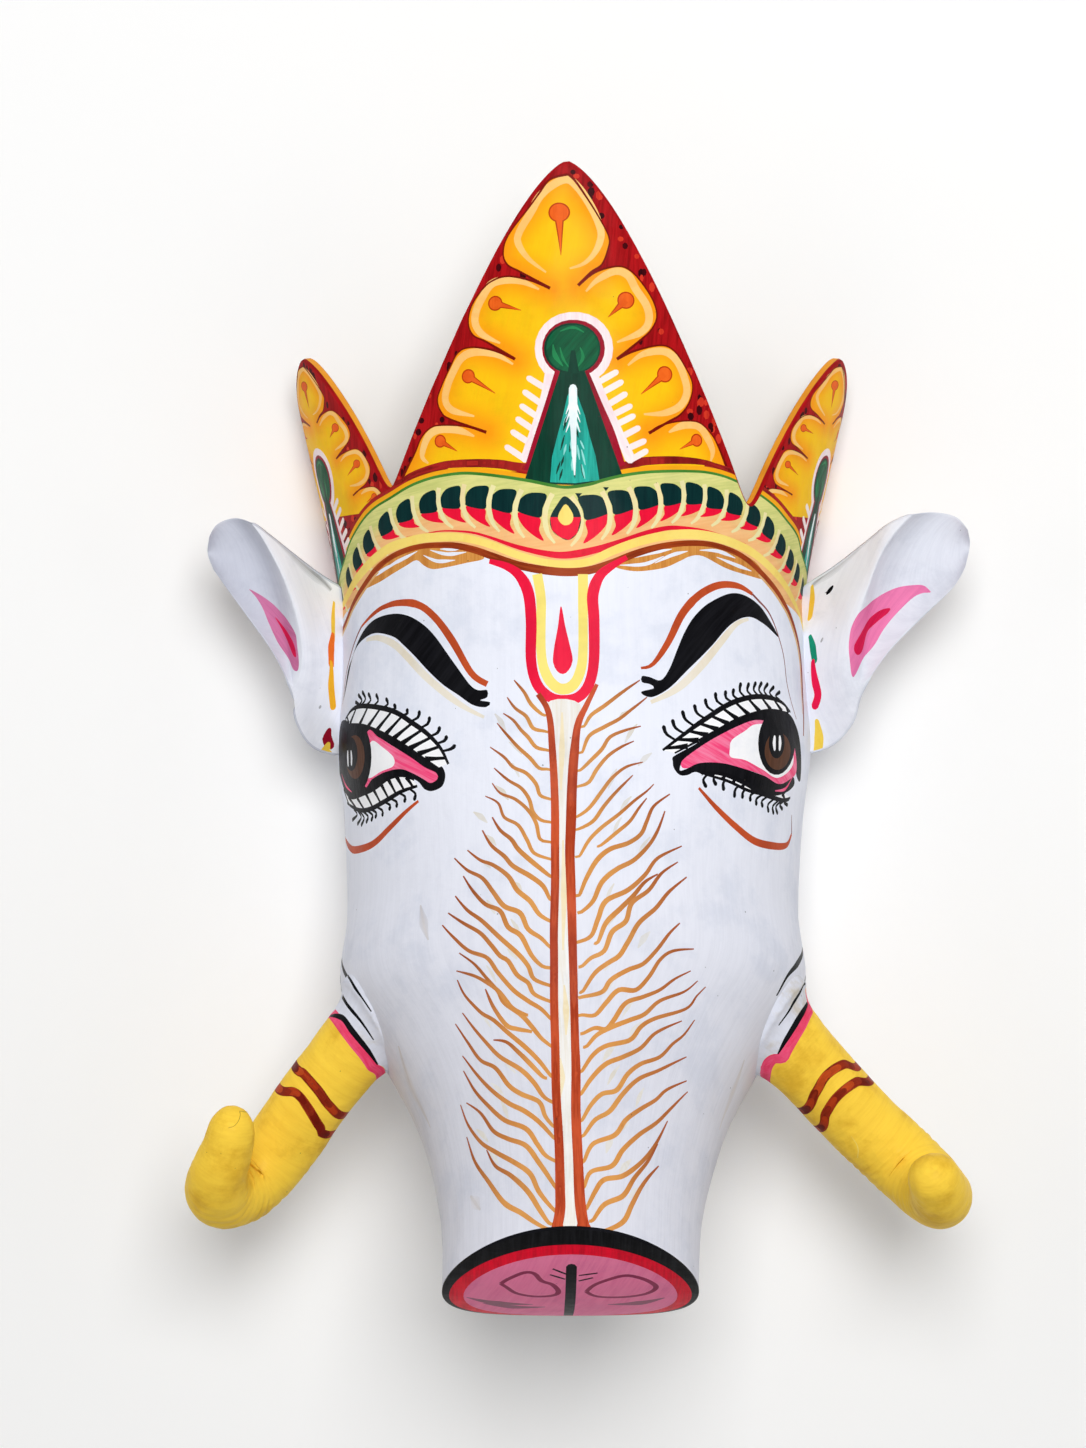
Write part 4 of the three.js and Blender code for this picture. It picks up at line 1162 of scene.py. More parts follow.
right_seam = np.stack([np.full(26, KEEL), seam_runs], -1)
back_edge = np.concatenate([right_rim, crown_line[1:-1], (right_rim * [-1, 1])[::-1]])
border = np.concatenate([nose_row, right_seam, back_edge, (right_seam * [-1, 1])[::-1]])

loose_turns, loose_runs = np.meshgrid(np.arange(-178, 179, 2.0), np.arange(2.5, 350, 3.0))
loose = np.stack([loose_turns.ravel() * ROUND_MM, loose_runs.ravel()], -1)
loose = loose[inside(border, loose)]
spots, faces, colours, strokes = cut_pattern(border, loose, face_pattern, white_ground)


# The moulded surface isn't quite even: paper and clay leave hollows of a few tenths.
def moulded(turn, run):
    points = face_points(turn, run)
    x, y, z = points[..., 0], points[..., 1], points[..., 2]
    waves = np.sin(x / 6.1 + 1.3 * np.sin(y / 11.0)) * np.sin(y / 7.3 + np.sin(z / 9.0))
    waves = waves + 0.6 * np.sin(x / 3.1 + y / 4.3) * np.sin(z / 3.7 - y / 5.9)
    depth = (0.16 + 0.1 * waves) * np.clip(np.asarray(run) / 6, 0, 1)
    return points - face_normals(turn, run) * depth[..., None]


def moulded_normals(turn, run):
    round_way = moulded(turn + 0.5, run) - moulded(turn - 0.5, run)
    up_way = moulded(turn, run + 0.7) - moulded(turn, run - 0.7)
    normal = np.cross(round_way, up_way)
    return normal / np.linalg.norm(normal, axis=-1, keepdims=True)


# One list of corners, faces and their finish is kept for the whole shell.
class Skin:
    def __init__(self):
        self.points, self.normals, self.faces, self.tones, self.strokes, self.finish = [], [], [], [], [], []
        self.count = 0

    def add(self, points, normals, faces, tones, strokes, finish):
        self.points.append(points)
        self.normals.append(normals)
        self.faces.append(np.asarray(faces) + self.count)
        self.tones.append(np.broadcast_to(tones, (len(faces), 3, 8)))
        self.strokes.append(np.broadcast_to(strokes, (len(faces), 3, 2)))
        self.finish.append(np.full(len(faces), finish))
        self.count += len(points)


def on_rim(spots):
    height = face_points(spots[:, 0] / ROUND_MM, spots[:, 1])[:, 2]
    return (np.abs(height) < 0.03) & (np.abs(spots[:, 0]) > 90 * ROUND_MM)


def outer_place(spots):
    across = np.where(spots[:, 0] <= -KEEL + 1e-6, KEEL, spots[:, 0])
    points = moulded(across / ROUND_MM, spots[:, 1])
    points[on_rim(spots), 2] = 0
    return points, moulded_normals(across / ROUND_MM, spots[:, 1])


def inner_place(spots):
    across = np.where(spots[:, 0] <= -KEEL + 1e-6, KEEL, spots[:, 0])
    points = face_points(across / ROUND_MM, spots[:, 1])
    normals = face_normals(across / ROUND_MM, spots[:, 1])
    level = np.linalg.norm(normals[:, :2], axis=1, keepdims=True)
    flat = np.concatenate([normals[:, :2] / level**2, 0 * level], 1)
    rim = on_rim(spots)
    inward = np.where(rim[:, None], flat, normals)
    points = points - WALL * inward
    points[rim, 2] = 0
    return points, -normals


# The rows of a rounded edge, from a sheet's upper face round to its lower one.
EDGE_ROWS = ((0, 0, 1), (0.08, 0.65, 0.7), (0.25, 1, 0), (0.75, 1, 0), (0.92, 0.65, -0.7), (1, 0, -1))


def edge_rows(first, first_normals, last, bulge):
    forward = np.gradient(first, axis=0)
    outward = np.cross(forward, first_normals)
    outward /= np.maximum(np.linalg.norm(outward, axis=1, keepdims=True), 1e-9)
    rows, row_normals = [], []
    for share, swell, facing in EDGE_ROWS:
        rows.append(first + (last - first) * share + outward * bulge[:, None] * swell)
        faced = first_normals * facing + outward * (1.01 - abs(facing))
        row_normals.append(faced / np.linalg.norm(faced, axis=1, keepdims=True))
    return rows, row_normals, np.cumsum(np.linalg.norm(forward, axis=1))


def quads_between(count, closed):
    here = np.arange(count if closed else count - 1)
    after = (here + 1) % count
    return np.concatenate([
        np.stack([here, here + count, after], -1),
        np.stack([after, here + count, after + count], -1),
    ])


skin = Skin()
outer_points, outer_normals = outer_place(spots)
skin.add(outer_points, outer_normals, faces, colours, strokes, 0)

# The outer face's edge is walked round once, and the inner face is cut to the same edge.
edge_walk = edge_loop(faces, int(np.argmin(np.abs(spots - nose_row[0]).sum(1))))
edge_spots = spots[edge_walk]
INNER_START = WALL / 24.6 * SECTION_RUN
inner_row = nose_row + [0, INNER_START]
inner_border = np.concatenate([inner_row, edge_spots[edge_spots[:, 1] > INNER_START + 0.2]])
inner_turns, inner_runs = np.meshgrid(np.arange(-176, 177, 4.0), np.arange(INNER_START + 4, 350, 5.0))
inner_loose = np.stack([inner_turns.ravel() * ROUND_MM, inner_runs.ravel()], -1)
inner_loose = inner_loose[inside(inner_border, inner_loose)]
inner_spots, inner_faces, _, _ = cut_pattern(inner_border, inner_loose, [], white_ground, 1e-5)
inner_points, inner_normals = inner_place(inner_spots)
skin.add(inner_points, inner_normals, inner_faces[:, ::-1], CREAM, (0, 0), 1)

# The cut edge of the shell: rounded and painted round the crown, flat and bare on the rim.
chain = edge_spots[edge_spots[:, 1] >= chin_run - 1e-6]
first_points, first_normals = outer_place(chain)
last_points, _ = inner_place(chain)
rim_chain = on_rim(chain)
crowned = np.flatnonzero(~rim_chain)
from_end = np.minimum(np.arange(len(chain)) - crowned[0] + 1, crowned[-1] + 1 - np.arange(len(chain)))
rows, row_normals, along = edge_rows(first_points, first_normals, last_points,
                                     EDGE_ROUND * np.clip(from_end / 25, 0, 1))
for flat_normals in row_normals:
    flat_normals[rim_chain] = (0, 0, -1)
for number in range(len(rows) - 1):
    quads = quads_between(len(chain), closed=False)
    bare = rim_chain[quads[:, 0] % len(chain)]
    ride = np.stack([np.full(2 * len(chain), float(number)), np.tile(along, 2)], -1)
    edge_paint = DARK_RED if number < 2 else CROWN_EDGE_PAINT
    for wanted, colour, finish in ((~bare, edge_paint, 0), (bare, CREAM, 1)):
        skin.add(np.concatenate(rows[number : number + 2]), np.concatenate(row_normals[number : number + 2]),
                 quads[wanted], colour, ride[quads[wanted]], finish)


# The nose plate, a little domed and bent; across and up are millimetres from its middle.
NOSE_TILT = math.radians(SECTIONS["tilt"][0])
nose_middle = np.array([SECTIONS["lean"][0], SECTIONS["y"][0], SECTIONS["z"][0]])
nose_up = np.array([0, math.sin(NOSE_TILT), math.cos(NOSE_TILT)])
nose_out = np.array([0, -math.cos(NOSE_TILT), math.sin(NOSE_TILT)])


def plate_points(spots):
    across, up = spots[:, :1], spots[:, 1:]
    swell = SECTIONS["bow"][0] * (1 - (up / NOSE_RADIUS) ** 2)
    swell = swell + NOSE_DOME * (1 - (across**2 + up**2) / NOSE_RADIUS**2)
    return nose_middle + across * [1, 0, 0] + up * nose_up + swell * nose_out


plate_turns = np.radians(nose_row[:-1, 0] / ROUND_MM)
plate_border = NOSE_RADIUS * np.stack([np.sin(plate_turns), np.cos(plate_turns)], -1)[::-1]
plate_grid = np.stack(np.meshgrid(np.arange(-40, 41, 2.5), np.arange(-40, 41, 2.5)), -1).reshape(-1, 2)
plate_grid = plate_grid[np.linalg.norm(plate_grid, axis=1) < NOSE_RADIUS - 1]
plate_spots, plate_faces, plate_tones, plate_strokes = cut_pattern(
    plate_border, plate_grid, plate_pattern, plate_ground)
plate_slope = plate_points(plate_spots + [0, 0.5]) - plate_points(plate_spots - [0, 0.5])
plate_cross = plate_points(plate_spots + [0.5, 0]) - plate_points(plate_spots - [0.5, 0])
plate_normals = np.cross(plate_cross, plate_slope)
plate_normals /= np.linalg.norm(plate_normals, axis=1, keepdims=True)
skin.add(plate_points(plate_spots), plate_normals, plate_faces, plate_tones, plate_strokes, 0)

inner_ring, _ = inner_place(inner_row[:-1])
start_place = WALL / 24.6
inner_middle = np.array([float(size_at(name, start_place)) for name in ("lean", "y", "z")])
depth = (inner_ring - inner_middle) @ nose_out
flat_ring = inner_ring - inner_middle - depth[:, None] * nose_out
inner_bow = float(size_at("bow", start_place))
plate_rows = [inner_ring]
for share in (0.66, 0.33, 0.0):
    swell = inner_bow * (1 - (share * np.cos(plate_turns)) ** 2) + NOSE_DOME * (1 - share**2)
    plate_rows.append(inner_middle + share * flat_ring + swell[:, None] * nose_out)
ring_count = len(inner_ring)
for row, next_row in zip(plate_rows, plate_rows[1:]):
    skin.add(np.concatenate([row, next_row]), np.tile(-nose_out, (2 * ring_count, 1)),
             quads_between(ring_count, closed=True), CREAM, (0, 0), 1)


# Puts a skin together: one corner where its parts meet, its finish kept on every face.
def join_skin(name, skin, set_normals=True):
    points = np.round(np.concatenate(skin.points), 3)
    normals = np.concatenate(skin.normals)
    faces = np.concatenate(skin.faces)
    places, same = np.unique(points, axis=0, return_inverse=True)
    joined = same.reshape(-1)[faces]
    whole = (joined[:, 0] != joined[:, 1]) & (joined[:, 1] != joined[:, 2]) & (joined[:, 2] != joined[:, 0])
    mesh = bpy.data.meshes.new(name)
    mesh.from_pydata(in_metres(places).tolist(), [], joined[whole].tolist())
    mesh.polygons.foreach_set("material_index", np.concatenate(skin.finish)[whole].astype(np.int32))
    mesh.shade_smooth()
    tones = np.concatenate(skin.tones)[whole].reshape(-1, 8)
    for attribute, values in (("paint", tones[:, :4]), ("deep", tones[:, 4:])):
        layer = mesh.color_attributes.new(attribute, "FLOAT_COLOR", "CORNER")
        layer.data.foreach_set("color", values.astype(np.float32).ravel())
    strokes = np.concatenate(skin.strokes)[whole].reshape(-1, 2) * MM
    mesh.uv_layers.new(name="brush").data.foreach_set("uv", strokes.astype(np.float32).ravel())
    if set_normals:
        mesh.normals_split_custom_set(normals[faces[whole]].reshape(-1, 3).tolist())
    piece = bpy.data.objects.new(name, mesh)
    bpy.context.collection.objects.link(piece)
    return piece


shell = join_skin("painted_shell_of_paper", skin)


# The finish of the painted pieces: streaks run along every stroke, paint stands a little
# higher where the brush was full, the paper under it leaves shallow lumps, and dust has
# settled on it in small dark specks.
def node_in(tree, kind, **settings):
    node = tree.nodes.new(kind)
    for name, value in settings.items():
        setattr(node, name, value)
    return node


def feed(tree, socket, value):
    if isinstance(value, bpy.types.NodeSocket):
        tree.links.new(value, socket)
    else:
        socket.default_value = value


def sums(tree, operation, *values):
    node = node_in(tree, "ShaderNodeMath", operation=operation)
    for socket, value in zip(node.inputs, values):
        feed(tree, socket, value)
    return node.outputs[0]


def eased(tree, value, low, high, first=0.0, last=1.0):
    node = node_in(tree, "ShaderNodeMapRange", interpolation_type="SMOOTHSTEP")
    for socket, given in zip(node.inputs, (value, low, high, first, last)):
        feed(tree, socket, given)
    return node.outputs[0]


def noise_in(tree, place, scale, detail=2.0, rough=0.5):
    node = node_in(tree, "ShaderNodeTexNoise")
    for name, given in (("Vector", place), ("Scale", scale), ("Detail", detail), ("Roughness", rough)):
        feed(tree, node.inputs[name], given)
    return node.outputs["Fac"]


def stretched(tree, place, sizes):
    node = node_in(tree, "ShaderNodeVectorMath", operation="MULTIPLY")
    feed(tree, node.inputs[0], place)
    feed(tree, node.inputs[1], sizes)
    return node.outputs[0]


def blended(tree, share, first, second, way="MIX"):
    node = node_in(tree, "ShaderNodeMix", data_type="RGBA", blend_type=way)
    for socket, given in ((node.inputs[0], share), (node.inputs[6], first), (node.inputs[7], second)):
        feed(tree, socket, given)
    return node.outputs[2]


def new_group(name, inputs, outputs, kind="ShaderNodeTree"):
    group = bpy.data.node_groups.new(name, kind)
    for way, sockets in (("INPUT", inputs), ("OUTPUT", outputs)):
        for socket_name, socket_kind, default in sockets:
            socket = group.interface.new_socket(
                socket_name, in_out=way, socket_type="NodeSocket" + socket_kind)
            if default is not None:
                socket.default_value = default
    return group, node_in(group, "NodeGroupInput").outputs, node_in(group, "NodeGroupOutput").inputs


def use_group(tree, group, **given):
    node = node_in(tree, "ShaderNodeGroup", node_tree=group)
    for name, value in given.items():
        feed(tree, node.inputs[name], value)
    return node.outputs


brush_marks, given, result = new_group(
    "brush_marks", [("Stroke", "Vector", None)], [("Streaks", "Float", None), ("Height", "Float", None)])
fine = noise_in(brush_marks, stretched(brush_marks, given["Stroke"], (1400, 85, 1)), 1.0, 3.0, 0.6)
broad = noise_in(brush_marks, stretched(brush_marks, given["Stroke"], (380, 34, 1)), 1.0, 2.0)
half_fine = sums(brush_marks, "MULTIPLY", fine, 0.5)
both = sums(brush_marks, "ADD", half_fine, sums(brush_marks, "MULTIPLY", broad, 0.5))
feed(brush_marks, result["Streaks"], eased(brush_marks, both, 0.38, 0.66))
feed(brush_marks, result["Height"], fine)

paper_body, given, result = new_group(
    "paper_body", [("Place", "Vector", None)],
    [("Lumps", "Float", None), ("Grain", "Float", None), ("Mottle", "Float", None)])
lumps = noise_in(paper_body, given["Place"], 75.0, 2.0)
knots = noise_in(paper_body, given["Place"], 240.0, 3.0, 0.55)
feed(paper_body, result["Lumps"], sums(paper_body, "ADD", lumps, sums(paper_body, "MULTIPLY", knots, 0.35)))
feed(paper_body, result["Grain"], noise_in(paper_body, given["Place"], 1100.0, 3.0, 0.65))
feed(paper_body, result["Mottle"], noise_in(paper_body, given["Place"], 46.0, 6.0, 0.68))

dust_specks, given, result = new_group(
    "dust_specks", [("Place", "Vector", None), ("Size", "Float", 0.045), ("Share", "Float", 0.3)],
    [("Specks", "Float", None)])
cells = node_in(dust_specks, "ShaderNodeTexVoronoi")
feed(dust_specks, cells.inputs["Vector"], given["Place"])
feed(dust_specks, cells.inputs["Scale"], 210.0)
lot = node_in(dust_specks, "ShaderNodeSeparateColor")
feed(dust_specks, lot.inputs[0], cells.outputs["Color"])
reach = sums(dust_specks, "MULTIPLY", given["Size"], sums(dust_specks, "ADD", lot.outputs["Green"], 0.5))
spot = sums(dust_specks, "LESS_THAN", cells.outputs["Distance"], reach)
feed(dust_specks, result["Specks"],
     sums(dust_specks, "MULTIPLY", spot, sums(dust_specks, "LESS_THAN", lot.outputs["Red"], given["Share"])))


def painted_finish(name, lump_mm, stroke_mm, speck_share, wash):
    material = bpy.data.materials.new(name)
    material.use_nodes = True
    tree = material.node_tree
    shader = tree.nodes["Principled BSDF"]
    coat = node_in(tree, "ShaderNodeAttribute", attribute_name="paint")
    deep = node_in(tree, "ShaderNodeAttribute", attribute_name="deep")
    place = node_in(tree, "ShaderNodeTexCoord").outputs["Object"]
    stroke = node_in(tree, "ShaderNodeUVMap", uv_map="brush").outputs["UV"]
    marks = use_group(tree, brush_marks, Stroke=stroke)
    body = use_group(tree, paper_body, Place=place)
    specks = use_group(tree, dust_specks, Place=place, Share=speck_share)["Specks"]
    share = sums(tree, "MULTIPLY", marks["Streaks"], deep.outputs["Alpha"])
    colour = blended(tree, share, coat.outputs["Color"], deep.outputs["Color"])
    patch = eased(tree, body["Mottle"], 0.46, 0.68, 0.0, 0.7)
    colour = blended(tree, patch, colour, wash, "MULTIPLY")
    colour = blended(tree, sums(tree, "MULTIPLY", specks, 0.55), colour, (*mix("#3a352f"), 1))
    feed(tree, shader.inputs["Base Color"], colour)
    uneven = sums(tree, "MULTIPLY", sums(tree, "SUBTRACT", body["Mottle"], 0.5), 0.35)
    feed(tree, shader.inputs["Roughness"], sums(tree, "ADD", coat.outputs["Alpha"], uneven))
    feed(tree, shader.inputs["Specular IOR Level"], 0.03)
    feed(tree, shader.inputs["Coat Weight"], 0.025)
    feed(tree, shader.inputs["Coat Roughness"], 0.12)
    relief = sums(tree, "MULTIPLY", body["Lumps"], lump_mm)
    relief = sums(tree, "ADD", relief, sums(tree, "MULTIPLY", marks["Height"], stroke_mm))
    relief = sums(tree, "ADD", relief, sums(tree, "MULTIPLY", body["Grain"], 0.02))
    bump = node_in(tree, "ShaderNodeBump")
    feed(tree, bump.inputs["Strength"], 1.0)
    feed(tree, bump.inputs["Distance"], MM)
    feed(tree, bump.inputs["Height"], relief)
    feed(tree, shader.inputs["Normal"], bump.outputs["Normal"])
    return material


# Inside and on its rim the shell is bare: torn strips of brown paper laid crosswise in paste,
# each a little different, with their edges showing.
def bare_finish(name):
    material = bpy.data.materials.new(name)
    material.use_nodes = True
    tree = material.node_tree
    shader = tree.nodes["Principled BSDF"]
    place = node_in(tree, "ShaderNodeTexCoord").outputs["Object"]
    body = use_group(tree, paper_body, Place=place)
    torn = node_in(tree, "ShaderNodeTexNoise")
    feed(tree, torn.inputs["Vector"], place)
    feed(tree, torn.inputs["Scale"], 160.0)
    strayed = node_in(tree, "ShaderNodeMix", data_type="VECTOR")
    feed(tree, strayed.inputs[0], 0.012)
    feed(tree, strayed.inputs[4], place)
    feed(tree, strayed.inputs[5], torn.outputs["Color"])
    laid = stretched(tree, strayed.outputs[1], (34, 75, 34))
    strips = node_in(tree, "ShaderNodeTexVoronoi")
    edges = node_in(tree, "ShaderNodeTexVoronoi", feature="DISTANCE_TO_EDGE")
    for cells in (strips, edges):
        feed(tree, cells.inputs["Vector"], laid)
        feed(tree, cells.inputs["Scale"], 1.0)
    lot = node_in(tree, "ShaderNodeSeparateColor")
    feed(tree, lot.inputs[0], strips.outputs["Color"])
    colour = blended(tree, lot.outputs["Red"], (*mix("#b99c6d"), 1), (*mix("#9a7d51"), 1))
    colour = blended(tree, eased(tree, body["Mottle"], 0.4, 0.7, 0.0, 0.6), colour, (*mix("#cdb78d"), 1))
    edge = eased(tree, edges.outputs["Distance"], 0.0, 0.05, 1.0, 0.0)
    colour = blended(tree, sums(tree, "MULTIPLY", edge, 0.5), colour, (*mix("#6f5533"), 1))
    feed(tree, shader.inputs["Base Color"], colour)
    feed(tree, shader.inputs["Roughness"], 0.85)
    relief = sums(tree, "ADD", sums(tree, "MULTIPLY", lot.outputs["Green"], 0.25), body["Lumps"])
    bump = node_in(tree, "ShaderNodeBump")
    feed(tree, bump.inputs["Strength"], 1.0)
    feed(tree, bump.inputs["Distance"], 0.5 * MM)
    feed(tree, bump.inputs["Height"], relief)
    feed(tree, shader.inputs["Normal"], bump.outputs["Normal"])
    return material


shell.data.materials.append(painted_finish("painted_paper", 0.5, 0.05, 0.22, (0.86, 0.88, 0.91, 1)))
shell.data.materials.append(bare_finish("bare_paper"))
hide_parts("mask_shell")
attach(shell, "root")


# The ears: each is a cupped sheet of paper layers, glued to the side of the head at its neck,
# folded up and opened out into the cup. Painted white, with a pink and red mark in the cup.
def curve_through(points, shares):
    points = np.asarray(points, float)
    ends = [2 * points[0] - points[1], *points, 2 * points[-1] - points[-2]]
    ends = np.array(ends)
    places = np.clip(shares, 0, 1) * (len(points) - 1)
    start = np.minimum(np.floor(places).astype(int), len(points) - 2)
    t = (places - start)[..., None]
    a, b, c, d = (ends[start + i] for i in range(4))
    first, second, third = (np.linalg.norm(far - near, axis=-1, keepdims=True) ** 0.5
                            for near, far in ((a, b), (b, c), (c, d)))
    leave = ((b - a) / first - (c - a) / (first + second) + (c - b) / second) * second
    reach = ((c - b) / second - (d - b) / (second + third) + (d - c) / third) * second
    return b + leave * t + (3 * (c - b) - 2 * leave - reach) * t**2 + (2 * (b - c) + leave + reach) * t**3


EAR_SHEET = 7
EAR_ROOT_Z = 32
EAR_FOLD_RISE = 17
EAR_CUP_DEPTH = 12
EAR_TIP_RISE = 6
EAR_ROOT_DEPTH = 14
FOLD_RANK = 0.45
EAR_LONG, EAR_WIDE = 90.0, 60.0
ROOT_IN_WALL = 1.5
EAR_EDGE_IN = 0.02
EAR_WHITE = paint("#eef0f8", "#dcdfea", 0.5, 0.3)
EAR_RED = paint("#dc1e50", "#c01040", 0.42, 0.6)
EAR_DIRT_AND_SHADE = paint("#c0c1c6", "#9a9b9f", 0.65, 1.0)
DAB_YELLOW = paint("#f2cf52", "#e4b836", 0.45, 0.7)
# Each cup is painted greyer than its neck, as painted shade in the hollow; the left ear's cup and pink mark
# are painted darker than the right's, also as painted shade.
EARS = {
    "ear_left": {
        "side": -1, "middle": (262, 590), "shaded_cup_paint": paint("#cdd0dc", "#bfc2d0", 0.5, 0.4),
        "pink_paint": paint("#d078a4", "#bb648e", 0.45, 0.7),
        "upper": [
            (-70, 46), (-86, 55.5), (-95, 62.3), (-103, 68.5), (-109, 72.5), (-115, 74), (-121, 71.5),
            (-124.6, 65)
        ],
        "lower": [
            (-70, -9), (-88, -5.4), (-93.4, 3), (-95, 13.5), (-101, 26.5), (-110, 39.5), (-118.6, 51.4),
            (-124.3, 59.5)
        ],
        "pink": [
            (249, 589), (262, 596), (276, 607), (288, 621), (295, 633), (297, 646), (297, 671),
            (288, 658), (278, 643), (269, 624), (262, 607), (255, 596)
        ],
        "red": [(275, 617), (286, 630), (293, 642), (296, 656), (293, 655), (286, 638), (280, 626)],
        "neck_shade_and_dirt": [(262, 528), (280, 542), (300, 560), (320, 578), (331, 590)],
        "dabs": (
            ([(334, 602), (333, 620), (333, 640)], 1.6, DAB_YELLOW),
            ([(333, 634), (331, 650), (331, 665)], 2.6, paint("#f0782c", "#dd5f1e", 0.45, 0.7)),
            ([(331, 662), (331, 685), (333, 707)], 2.6, paint("#f2b42e", "#e39a20", 0.45, 0.7)),
            ([(329, 730), (327, 738), (330, 746)], 3.4, paint("#951228", "#6d0c1c", 0.42, 0.6)),
            ([(328, 744), (325, 752), (330, 759)], 3.2, DAB_YELLOW),
        ),
        "spot": (320, 707), "hole": None,
    },
    "ear_right": {
        "side": 1, "middle": (890, 600), "shaded_cup_paint": paint("#e4e7f1", "#d3d6e2", 0.5, 0.4),
        "pink_paint": paint("#f080b2", "#dd6fa2", 0.45, 0.7),
        "upper": [
            (71, 46), (89.5, 57.8), (101.4, 67.1), (108.3, 72.5), (116, 75.4), (124, 76), (131.5, 73.8),
            (136.4, 67.5)
        ],
        "lower": [
            (71, -9), (88, -5), (95, 2.5), (98.5, 13.8), (107.2, 27.1), (119.5, 40), (130.8, 51.4),
            (135.9, 61)
        ],
        "pink": [
            (931, 592), (925, 586), (914, 585), (896, 588), (875, 599), (861, 611), (852, 626),
            (849, 644), (850, 661), (853, 677), (861, 663), (873, 647), (884, 629), (900, 610),
            (914, 597), (923, 593)
        ],
        "red": [(890, 608), (879, 611), (866, 624), (857, 640), (854, 649), (858, 655), (863, 649),
                (867, 633), (877, 622), (888, 613)],
        "neck_shade_and_dirt": [(872, 534), (855, 548), (838, 562), (822, 576), (812, 586)],
        "dabs": (
            ([(812, 586), (812, 602), (810, 618)], 2.2, DAB_YELLOW),
            ([(810, 636), (813, 648), (815, 661)], 2.4, paint("#1f9a78", "#0f6f56", 0.42, 0.6)),
            ([(813, 661), (815, 680), (818, 694), (815, 706)], 3.0, paint("#f01e50", "#d00e3c", 0.42, 0.6)),
            ([(817, 721), (819, 735), (816, 756)], 3.2, DAB_YELLOW),
        ),
        "spot": (822, 640), "hole": (830, 590),
    },
}


def inside_depth(points):
    depths = []
    for point in points:
        near, out, _, _ = shell_sheet[0].find_nearest(Vector(point))
        depths.append((near - Vector(point)).dot(out))
    return np.array(depths)


def root_share(place_at, shares):
    depths = inside_depth(place_at(shares))
    deep = np.flatnonzero(depths > ROOT_IN_WALL)
    last = deep[-1] if len(deep) else 0
    return shares[last]


def ear_places(ear):
    def on_top(spots):
        rank, across = spots[:, 0] / EAR_LONG, -ear["side"] * spots[:, 1] / EAR_WIDE
        fold = 0.6 - 1.35 * across + 1.25 * across**2
        neck = np.minimum(rank / FOLD_RANK, 1)
        cup = np.maximum((rank - FOLD_RANK) / (1 - FOLD_RANK), 0)
        along = fold * neck + (1 - fold) * cup
        upper, lower = curve_through(ear["upper"], along), curve_through(ear["lower"], along)
        level = upper + (lower - upper) * across[:, None]
        hollow = np.sin(np.pi / 2 * np.minimum(cup * 1.6, 1))
        brim = (2 * across - 1) ** 2 * np.sqrt(cup)
        rise = EAR_FOLD_RISE * np.sin(np.pi / 2 * neck) - EAR_CUP_DEPTH * hollow * (1 - 0.5 * brim)
        waves = np.sin(level[:, 0] / 4.7 + 1.2 * np.sin(level[:, 1] / 6.0)) * np.sin(level[:, 1] / 5.3)
        height = EAR_ROOT_Z + rise + EAR_TIP_RISE * cup**2 - 0.2 + 0.16 * waves
        return np.concatenate([level, height[:, None]], 1)

    def beneath(spots):
        rank, across = spots[:, 0] / EAR_LONG, -ear["side"] * spots[:, 1] / EAR_WIDE
        rim = (2 * across - 1) ** 4
        root = np.maximum(1 - rank / FOLD_RANK, 0) ** 2
        thick = EAR_SHEET * (1 - 0.4 * rim) * (1 - 0.25 * rank) + EAR_ROOT_DEPTH * root * (1 - rim)
        return on_top(spots) - np.stack([0 * rank, 0 * rank, thick - 0.4], -1)

    return on_top, beneath


